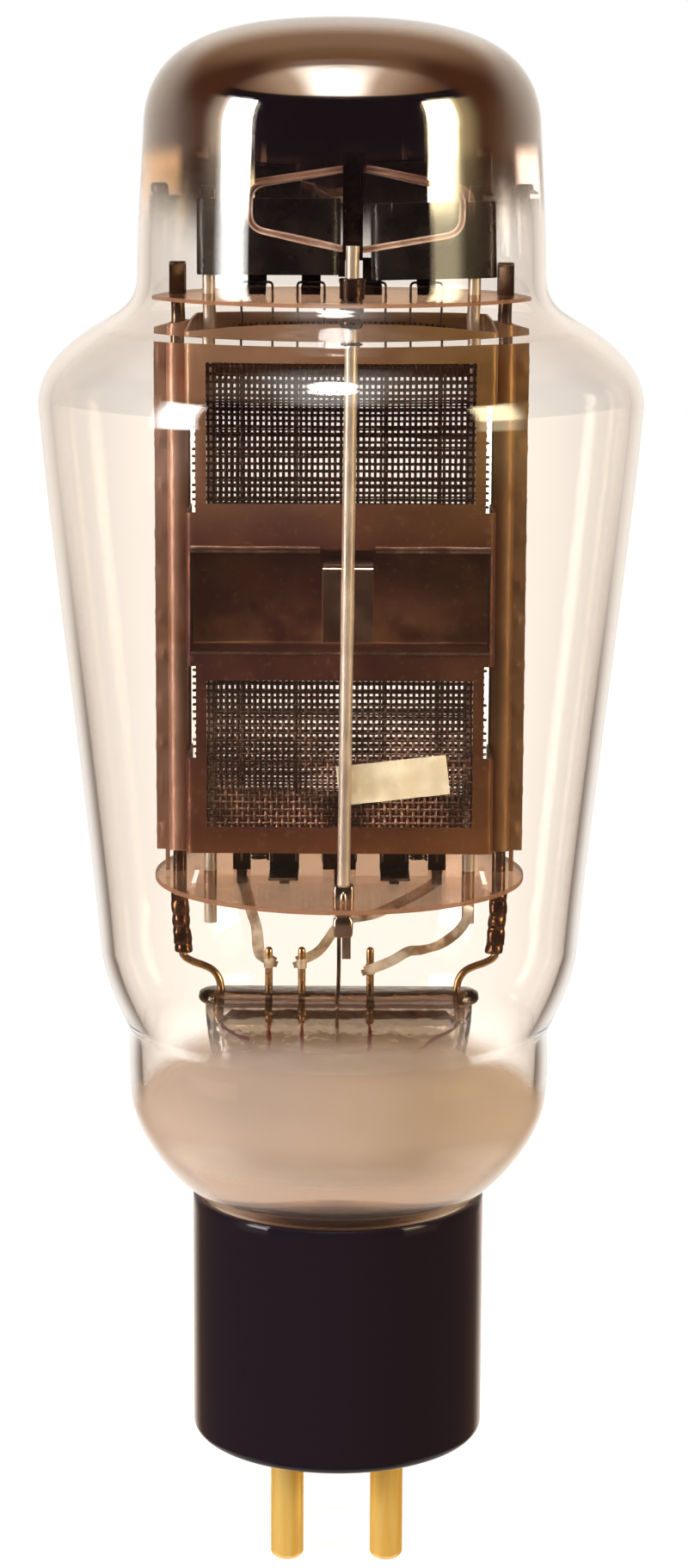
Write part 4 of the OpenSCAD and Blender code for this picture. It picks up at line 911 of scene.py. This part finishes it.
def bars():
    """Bars that hold the filament's lower ends, two of them with a foot on the mica."""
    parts = []
    z = MICA_LOW[1]
    for x, w in BARS:
        parts.append(upright(x, BAR_Y, z, z + 3.6, 0.4, w))
        parts.append(upright(x, BAR_Y, z - 1.7, z + 0.5, 0.4, 1.2))
        for s in (-1, 1):
            parts.append(upright(x + s * (w / 2 - 0.35), BAR_Y - 0.28, z + 0.5, z + 3.3, 0.16, 0.6))
    for x, w in BARS[1::2]:
        bends = (BAR_Y, 0.13), (-3, 0.13), (-6.1, 0.13), (-6.4, 0.3)
        line = rounded([(x, y, z + up) for y, up in bends], 0.2)
        parts.append(sweep(line, flat(w - 0.4, 0.25, 0.05), side=(1, 0, 0)))
        parts.append(bar((x, -6.2, z + 0.16), (x, -0.8, z + 0.16), w, 0.22, (1, 0, 0)))
    return joined(*parts)


def springs():
    """Small coils between the end bars and their neighbours."""
    parts = []
    (end_x, end_w), (next_x, next_w) = BARS[:2]
    wire, turns, pitch = 0.165, 2.2, 0.42
    outer = (next_x - next_w / 2 - end_x - end_w / 2) / 2 - 0.02
    middle = end_x + end_w / 2 + 0.02 + outer
    r = outer - 0.17
    t = np.linspace(0, turns * TAU, 70)
    for s in (-1, 1):
        line = [s * middle + r * np.cos(t), BAR_Y + r * np.sin(t), MICA_LOW[1] + 1.2 + pitch * t / TAU]
        parts.append(sweep(np.stack(line, 1), ring(wire, 8)))
    return joined(*parts)


def winding():
    """One wire wound round both grid rods."""
    pitch, r = 1.9, 0.125
    around = 1.5 + 2 * r + 0.04
    line = racetrack(2 * GRID_X + around, around, 8)
    n = len(line)
    turns = int((ANODE_TOP - ANODE_FOOT - 4) / pitch)
    path = [(*line[k % n], ANODE_FOOT + 2.1 + pitch * k / n) for k in range(turns * n)]
    return sweep(path, ring(r, 6), side=(0, 0, 1))


# Getter and centre rod
def getter_loop():
    """Channel bent into a long six-sided loop, a little wider where it was fired."""
    w, s, h = 12.0, 2.3, 4.55
    corners = [(-w + 0.5, -s), (-w + 0.5, s), (0, h), (w - 0.5, s), (w - 0.5, -s), (0, -h)]
    loop = split(rounded([(x, 0, z) for x, z in corners], 1.7, 8, closed=True), 0.5, closed=True)
    x, z = tilted(loop[:, 0], loop[:, 2], -1.2)
    path = np.stack([1.5 + x, np.full(len(x), ROD_BACK + 0.75), 145.8 + z], 1)
    half, lip, web = 0.35, 0.17, (0.12, 0.15)
    upper = [(half, half), (-half, half), (-half, lip), web]
    size = 1.0 + 0.18 * np.exp(-((path[:, 0] + 4) / 3) ** 2) * (path[:, 2] < 145)
    return sweep(path, upper + [(u, -v) for u, v in upper[::-1]], closed=True, scale=size)


def holder():
    """Channel strip behind the centre rod, with a tail and two rivets."""
    x, half, lip = 1.2, 1.1, -0.42
    right = [(half, 0), (half, lip), (0.85, lip), (0.8, -0.14)]
    path = [(x, ROD_BACK + 0.38, z) for z in np.linspace(140.3, 151.9, 8)]
    strip = sweep(path, right + [(-u, v) for u, v in right[::-1]], side=(1, 0, 0))
    tail = upright(x - 1.18, ROD_BACK + 0.2, 138.5, 141.2, 0.75, 0.36, (1, 0, 0))
    y = ROD_BACK - 0.05
    rivets = [bar((x - 0.6, y, z), (x - 0.1, y, z + 0.2), 0.3, 0.3) for z in (148.6, 149.6)]
    return joined(strip, tail, *rivets)


def clamp():
    """Squarish sleeve on the centre rod's foot, with a weld boss and a tab."""
    rings = [(64.2, 0.6, 0.5), (64.25, 1.0, 0.85), (64.5, 1.1, 0.95), (66.2, 1.16, 1.02), (66.5, 0.95, 0.95),
             (66.8, 0.92, 0.92), (67.1, 1.12, 1.05), (67.4, 1.18, 1.1), (69.9, 1.18, 1.1),
             (70.15, 1.12, 1.05), (70.25, 0.9, 0.85)]
    sides, power, boss_z = 44, 5.0, 68.6
    verts = []
    for z, half_w, half_d in rings:
        for a in TAU * np.arange(sides) / sides:
            across, along = (math.copysign(abs(q) ** (2 / power), q) for q in (math.cos(a), math.sin(a)))
            verts.append(on_rod(z, half_w * across, half_d * along))
    dome, dome_faces = lathe([(0, 0.3), (0.35, 0.26), (0.6, 0.12), (0.7, 0.0), (0, 0)], 28)
    boss = [(0.65 * x + on_rod(boss_z)[0], ROD_Y - 1.08 - z, boss_z + 1.5 * y) for x, y, z in dome]
    tab = upright(0.85, ROD_Y, 61.6, 64.5, 1.0, 0.36, (1, 0, 0))
    return joined((verts, skin(len(rings), sides)), (boss, dome_faces), tab)


def collar():
    """Beaded collar of the centre rod in the upper mica."""
    foot, bore = MICA_UP[0] - 3.7, 0.75
    beads = [(1.08, 0.02), (1.23, 0.2), (1.33, 0.5), (1.33, 0.9), (1.2, 1.15), (0.96, 1.4), (0.93, 1.9),
             (1.13, 2.2), (1.33, 2.5), (1.33, 3.0), (1.18, 3.4), (1.18, 4.35), (1.35, 4.4), (1.38, 4.5),
             (1.38, 6.3), (1.46, 6.6), (1.46, 6.8), (1.33, 6.9)]
    verts, faces = lathe([(bore, 0)] + beads + [(bore, 6.9)], 48, closed=True)
    return [on_rod(foot + z, x, y) for x, y, z in verts], faces


def tag():
    """Plain plate on the centre rod, a little wavy away from it."""
    foot, width, height, tilt = 79.2, 12.4, 4.5, 6.6
    x, z = np.meshgrid(np.linspace(0, width, 40), np.linspace(0, height, 16), indexing="ij")
    wave = 0.05 * np.sin(x * 0.8) * np.cos(z * 0.6) + 0.04 * np.sin(2.2 * x + 1)
    y = ROD_BACK + 0.125 + wave * np.clip((x - 1.5) / 2, 0, 1)
    across, up = tilted(x, z, tilt)
    return sheet(np.stack([on_rod(foot)[0] - 0.5 + across, y, foot + up], 2), np.ones((39, 15), bool), 0.22)


# Leads
LEAD_R, STUB_TOP = 0.45, 59.5
STUBS = {"filament_lead_left": -8.3, "filament_lead_right": -4.4, "grid_lead": 3.7}


def support_lead(s):
    """Lead from a sleeve to the press, bent inwards in an S."""
    start, end, top = POST_X - 0.3, 14.0, 58.9
    bends = [(0, 0), (0, 0.3), (0.09, 0.8), (0.31, 1.3), (0.56, 1.7), (0.8, 2.3), (0.96, 3.4)]
    points = [(s * (start + (end - start) * share), 0, top - drop) for share, drop in bends]
    points += [(s * end, 0, z) for z in (PRESS_TOP, PRESS_FOOT, LEAD_FOOT)]
    return sweep(smooth_path(points, 5), ring(LEAD_R, 14))


def stub(x):
    """Straight lead out of the press, with a rounded tip."""
    r, foot, top = LEAD_R, LEAD_FOOT, STUB_TOP
    profile = [(0, foot), (r - 0.07, foot), (r, foot + 0.1), (r, top - 0.6), (0.43, top - 0.3),
               (0.3, top - 0.05), (0.12, top), (0, top)]
    return lathe(profile, 20, (x, 0, 0))


def wrap(x, z, s, turn):
    """End of a ribbon folded round a lead stub, with its cut corner standing out."""
    band = lathe([(0.47, -0.55), (0.6, -0.55), (0.62, 0.55), (0.47, 0.55)], 20, (x, 0, z), closed=True)
    flag = bar((x + s * 0.3, -0.35 * turn, z + 0.1), (x - s, -0.45 * turn, z - 0.35), 0.75, 0.14, (0, 0, 1))
    return joined(band, flag)


def ribbon(points, width, *twists):
    """A thin strap through the points. Each twist is a share of its length and an angle in degrees."""
    path = smooth_path(points, 7)
    angles = np.interp(np.linspace(0, 1, len(path)), *zip(*twists))
    return sweep(path, flat(width, 0.16, 0.05), twist=np.radians(90 + angles))


def ribbons():
    """Straps from the electrodes to the lead stubs, by node."""
    y, back, top = 0.55, BAR_Y + 0.3, MICA_LOW[0] - 1.2
    x = STRANDS[0]
    left = ribbon([(x + 0.1, back, top + 0.6), (x + 0.5, back, top - 1), (x + 1.1, 0.7, top - 3.4),
                   (x + 1.7, y, top - 5.4), (x + 2.0, y, 58.9), (x + 2.6, y, 58.2), (-7.7, y, 57.4)],
                  1.4, (0, 0), (0.5, 25), (0.7, -20), (1, 0))
    x = STRANDS[7]
    right = ribbon([(x + 0.2, back, top + 0.4), (x - 1.5, back, top - 0.8), (x - 4.2, 1.2, top - 2.4),
                    (4.2, 1.5, top - 3.9), (0.4, 1.4, top - 4.9), (-2.4, 0.9, 58.8), (-5.0, y, 57.6)],
                   1.2, (0, 10), (0.4, 35), (0.7, -15), (1, 0))
    x, front, foot = GRID_X, -0.85, MICA_LOW[0] - 5.8
    grid = ribbon([(x + 0.2, front, foot + 2.2), (x - 0.2, front, foot + 0.6), (x - 1.2, front, foot - 0.9),
                   (x - 3.2, front, foot - 2.4), (x - 5.4, front, foot - 3.1), (x - 7, front, foot - 3.3),
                   (6.1, front, foot - 4.5), (3.1, -y, foot - 5.8)],
                  1.2, (0, 30), (0.3, 20), (0.5, -25), (0.75, 15), (1, 0))
    return {"filament_ribbon_left": joined(left, wrap(STUBS["filament_lead_left"], 57.6, -1, -1)),
            "filament_ribbon_right": joined(right, wrap(STUBS["filament_lead_right"], 57.5, 1, -1)),
            "grid_ribbon": joined(grid, wrap(STUBS["grid_lead"], 56.8, 1, 1))}


def base_wires():
    """Wires from the press through the flare, four of them down into the pins."""
    top = LEAD_FOOT - 0.02
    left, right, grid = STUBS.values()
    starts = {
        (-1, -1): [(left, 0, 0), (left, 0, 4), (-7.4, -4, 14)],
        (1, -1): [(right, 0, 0), (right, 0, 4), (-2.5, -4.4, 13), (4, -5.6, 26)],
        (-1, 1): [(grid, 0, 0), (grid, 0, 4), (2.5, 4.4, 13), (-4, 5.6, 26)],
        (1, 1): [(14, 0, 0), (14, 0, 0.4), (13.5, 0, 1), (11.5, 0, 2.2), (9.2, 0.3, 4), (8.8, 1, 6),
                 (8.4, 4, 16)],
    }
    ends = {(sx, sy): [(sx * PIN_X, sy * PIN_Y, z) for z in (8.0, 5.0, -11.7)] for sx, sy in starts}
    starts["loose"] = [(-14, 0, 0), (-14, 0, 0.4), (-13.5, 0, 1), (-12.4, 0, 1.8), (-10.6, 0, 2.4)]
    parts = []
    for place, start in starts.items():
        line = rounded([(x, y, top - drop) for x, y, drop in start] + ends.get(place, []), 1.2)
        parts.append(sweep(line, ring(LEAD_R / 2, 10), side=(0, 1, 0.01)))
    return joined(*parts)


def centre_wire():
    """Thin wire from the centre rod's foot over the front of the press."""
    points = [(0, ROD_Y, ROD_FOOT[1]), (0, ROD_Y, 63.6), (0, -13.7, 60.2), (-0.1, -9.5, 55.8),
              (-0.2, -4.62, 55.1), (-0.2, -3.43, 53.3), (-0.2, -3.43, PRESS_FOOT)]
    points += [(-0.2, -stem_half(z)[1] - 0.43, z) for z in (50.4, 49.0, 47.6)]
    return sweep(smooth_path(points, 5), ring(LEAD_R / 2, 10), side=(1, 0, 0))


# Materials
# Dark tone, light tone, roughness, spot size, metallic and grain of each plain finish
PLAIN = {
    "cement": ((0.5, 0.42, 0.32), (0.62, 0.54, 0.42), 0.8, 1.0, 0.0, 0.5),
    "bayonet": ((0.6, 0.46, 0.22), (0.75, 0.6, 0.32), 0.25, 1.5, 1.0, 0.15),
    # Lighter metal for the front edges of the anode's waist: painted highlight.
    "anode_lip_painted_highlight": ((0.5, 0.34, 0.26), (0.7, 0.52, 0.42), 0.22, 4, 1.0, 0.05),
    "bracket": ((0.46, 0.27, 0.2), (0.62, 0.42, 0.33), 0.2, 8, 1.0, 0.04),
    "post": ((0.07, 0.042, 0.03), (0.24, 0.16, 0.11), 0.2, 3, 1.0, 0.05),
    "rod": ((0.46, 0.38, 0.32), (0.58, 0.49, 0.42), 0.42, 6, 0.8, 0.02),
    "grid": ((0.12, 0.09, 0.07), (0.2, 0.16, 0.13), 0.4, 1.5, 1.0, 0.15),
    "fin": ((0.004, 0.003, 0.0035), (0.012, 0.008, 0.007), 0.3, 5, 0.2, 0.05),
    "filament": ((0.05, 0.035, 0.03), (0.12, 0.09, 0.075), 0.35, 1.5, 1.0, 0.15),
    "sleeve": ((0.06, 0.025, 0.012), (0.2, 0.1, 0.05), 0.22, 3, 1.0, 0.05),
    "hook": ((0.03, 0.018, 0.013), (0.1, 0.065, 0.045), 0.24, 5, 1.0, 0.05),
    "clamp": ((0.5, 0.4, 0.31), (0.66, 0.56, 0.46), 0.16, 4, 1.0, 0.03),
    "getter": ((0.62, 0.4, 0.32), (1.0, 0.76, 0.66), 0.2, 3, 0.6, 0.05),
    "fitting": ((0.05, 0.033, 0.027), (0.11, 0.08, 0.06), 0.25, 4, 1.0, 0.05),
    "tag": ((0.78, 0.7, 0.52), (0.9, 0.84, 0.68), 0.42, 3, 0.55, 0.04),
    "lead": ((0.48, 0.29, 0.12), (0.62, 0.42, 0.22), 0.24, 8, 1.0, 0.04),
    "ribbon": ((0.34, 0.22, 0.13), (0.95, 0.84, 0.68), 0.17, 2.4, 0.6, 0.03),
    "seal_wire": ((0.2, 0.025, 0.03), (0.28, 0.05, 0.05), 0.32, 8, 0.6, 0.04),
}


def plain(name, dark, light, rough, spots, metallic, grain):
    """A finish that varies between two tones, with a fine grain."""
    f = Finish(name)
    tone = f.step(f.noise(spots, 4), 0.35, 0.65)
    rougher = f.step(f.noise(spots * 0.6, 3), 0.3, 0.7, rough * 0.75, rough * 1.25)
    return f.done(f.principled(Base_Color=f.mix(tone, dark, light), Roughness=rougher, Metallic=metallic,
                               Normal=f.bump(f.noise(0.12, 2), grain, 0.06)))


def mica_material():
    """Thin clear plate with cloudy spots and a darker rim."""
    f = Finish("mica")
    tone = f.mix(f.step(f.noise(4, 3), 0.35, 0.65), (0.6, 0.44, 0.34), (0.8, 0.66, 0.55))
    body = f.mix_shader(0.5, f.first("BsdfDiffuse", tone), f.first("BsdfTranslucent", tone))
    clear = f.first("BsdfTransparent", (0.82, 0.69, 0.59))
    gloss = f.first("BsdfAnisotropic", (0.9, 0.78, 0.68), 0.05)
    cloudy = f.step(f.noise(7, 4, 0.6), 0.35, 0.7, 0.02, 0.14)
    plate = f.mix_shader(f.times(f.first("Fresnel", 1.5), 0.6), f.mix_shader(cloudy, clear, body), gloss)
    away = f.math("SQRT", f.plus(f.times(f.x, f.x), f.times(f.y, f.y)))
    rim = f.first("BsdfDiffuse", (0.2, 0.1, 0.06))
    return f.done(f.mix_shader(f.step(away, 21.5, 21.6, 0.0, 0.8), plate, rim))


def anode_material():
    """Brown sheet with painted light and shade: a painted highlight at the top, painted shade in the waist,
    and painted light that is pinkish on the left and golden on the right.
    """
    f = Finish("anode")
    # The tones by height and by side are painted light and shade over the sheet's own brown: a painted
    # highlight towards the top, painted shade through the lower window and the waist, pinkish painted light
    # on the left and golden painted light on the right.
    share = f.first("MapRange", f.z, 71.0, 132.0)
    left_tone_and_painted_light = f.ramp(share, (0.0, (0.2, 0.075, 0.03)), (0.07, (0.12, 0.04, 0.025)), (0.3, (0.055, 0.016, 0.02)),
                  (0.6, (0.07, 0.02, 0.022)), (0.72, (0.22, 0.11, 0.07)), (1.0, (0.46, 0.28, 0.18)))
    right_tone_and_painted_light = f.ramp(share, (0.0, (0.22, 0.09, 0.03)), (0.3, (0.08, 0.03, 0.015)), (0.6, (0.08, 0.028, 0.014)),
                  (0.75, (0.2, 0.1, 0.035)), (1.0, (0.32, 0.19, 0.07)))
    tone = f.mix(f.step(f.x, -2, 16), left_tone_and_painted_light, right_tone_and_painted_light)
    # Lighter tone on the post channels and flanges, beyond the sides of the face: painted highlight, pinkish
    # on the left and golden on the right.
    channel = f.mix(f.step(f.x, -5, 5), (0.5, 0.3, 0.22), (0.3, 0.17, 0.075))
    tone = f.mix(f.step(f.math("ABSOLUTE", f.x), 17.4, 17.7, 0.0, 0.65), tone, channel)
    patches = f.step(f.noise(8, 3), 0.35, 0.6)
    sill = f.times(f.band(f.z, WAIST[0], 101, 0.5, 3.5), f.step(f.math("ABSOLUTE", f.y), 5, 4), patches)
    tone = f.mix(f.times(sill, 0.7), tone, (0.26, 0.12, 0.06))
    tone = f.mix(f.step(f.noise(9, 3, 0.5), 0.35, 0.7, 0.0, 0.45), tone, (0.16, 0.06, 0.025))
    tone = f.mix(f.step(f.noise(0.9, 4, 0.6), 0.56, 0.7, 0.0, 0.12), tone, (0.42, 0.24, 0.14))
    rough = f.step(f.noise(5, 3), 0.3, 0.7, 0.36, 0.48)
    return f.done(f.principled(Base_Color=tone, Roughness=rough, Metallic=0.8,
                               Normal=f.bump(f.noise(0.3, 3), 0.25, 0.06, f.bump(f.noise(4, 2), 0.5, 0.3))))


def mesh_material():
    f = Finish("mesh")
    # The wires get lighter from z 93 down to z 80 and below: painted light on the lower wires, over their own
    # dark tone.
    tone = f.mix(f.step(f.z, 93, 80), (0.03, 0.015, 0.015), (0.34, 0.19, 0.14))
    tone = f.mix(f.step(f.noise(6, 3), 0.35, 0.65), tone, (0.05, 0.022, 0.018))
    return f.done(f.principled(Base_Color=tone, Roughness=0.3, Metallic=0.9))


world()
floor()
lamp("fill_left", (-0.7, -0.6, 0.5), (0.6, 0.8), 9.0, (1, 0.95, 0.9))
lamp("fill_right", (0.75, -0.5, 0.45), (0.5, 0.8), 5.0, (1, 0.92, 0.8))

materials = {name: plain(name, *look) for name, look in PLAIN.items()}
materials |= {"glass": plain_glass(), "dome": dome_glass(), "bowl": bowl_glass(), "stem_glass": stem_glass(),
              "base": base_material(), "pin": pin_gold(), "anode": anode_material(), "mesh": mesh_material(),
              "mica": mica_material()}

add("glass_envelope", "envelope", envelope(), "glass", "glass", "dome", "bowl", angle=60)
add("stem_glass", "stem", stem(), "stem_glass", angle=50)
add("base_shell_piece", "base_shell", base(), "base", angle=35)
for name, *place in (("filament_pin_left", -1, -1, THICK_PIN_R), ("filament_pin_right", 1, -1, THICK_PIN_R),
                     ("grid_pin", -1, 1, THIN_PIN_R), ("anode_pin", 1, 1, THIN_PIN_R)):
    add(name + "_piece", name, pin(*place), "pin", angle=40)
for name, half in (("anode_front", anode_half(1, ANODE_FOOT, WINDOWS, SLOTS)),
                   ("anode_back", turned(anode_half(2, BACK_FOOT, BACK_WINDOWS, BACK_SLOTS)))):
    add(name + "_sheet", name, half, "anode", "anode", "anode_lip_painted_highlight", angle=42)
for name, part in (("mesh_front_upper", weave(WINDOWS[1], 1)), ("mesh_front_lower", weave(WINDOWS[0], 2)),
                   ("mesh_back_upper", turned(weave(WINDOWS[1], 3, True))),
                   ("mesh_back_lower", turned(weave(WINDOWS[0], 4, True)))):
    add(name + "_weave", name, part, "mesh", angle=80)
add("waist_bracket_strip", "waist_bracket", bracket(), "bracket")
for s, side in ((-1, "left"), (1, "right")):
    add(f"post_sleeve_{side}_crimped", f"post_sleeve_{side}", sleeve(s), "post", "sleeve", angle=60)
    add(f"post_cap_{side}_strip", f"post_cap_{side}", cap(s), "post")
    add(f"support_lead_{side}_wire", f"support_lead_{side}", support_lead(s), "lead", angle=60)
for side, sizes in FINS.items():
    add(f"fin_{side}_sheet", f"fin_{side}", fin(*sizes), "fin", angle=30)
for side, place in CLIPS.items():
    add(f"fin_clip_{side}_fold", f"fin_clip_{side}", clip(*place), "fin")
add("filament_wire", "filament", filament(), "filament", angle=60)
add("filament_hook_strips", "filament_hooks", hooks(), "filament", "hook")
add("filament_bar_strips", "filament_bars", bars(), "filament", "hook")
add("filament_spring_coils", "filament_springs", springs(), "filament", "hook", angle=60)
add("grid_winding_wire", "grid_winding", winding(), "grid", angle=60)
add("getter_loop_channel", "getter_loop", getter_loop(), "getter", angle=40)
add("getter_holder_channel", "getter_holder", holder(), "fitting")
add("rod_clamp_sleeve", "rod_clamp", clamp(), "rod", "clamp", angle=45)
add("rod_collar_beads", "rod_collar", collar(), "fitting", angle=50)
add("tag_plate", "tag", tag(), "tag")
for name, x in STUBS.items():
    add(name + "_stub", name, stub(x), "lead", angle=50)
for name, part in ribbons().items():
    add(name + "_strap", name, part, "ribbon")
add("base_wire_runs", "base_wires", base_wires(), "seal_wire", angle=60)
add("centre_wire_run", "centre_wire", centre_wire(), "seal_wire", "post", angle=60)

# Nodes whose own mesh is shown, by slot
SHOWN = {"cement": ["base_cement"], "bayonet": ["bayonet_pin"], "mica": ["mica_upper", "mica_lower"],
         "post": ["post_left", "post_right"], "rod": ["grid_rod_left", "grid_rod_right", "centre_rod"]}
for slot, names in SHOWN.items():
    for name in names:
        o = frame["nodes"][name]
        o.data.materials.clear()
        o.data.materials.append(materials[slot])
        o.data.polygons.foreach_set("use_smooth", [True] * len(o.data.polygons))
        o.data.set_sharp_from_angle(angle=math.radians(35))
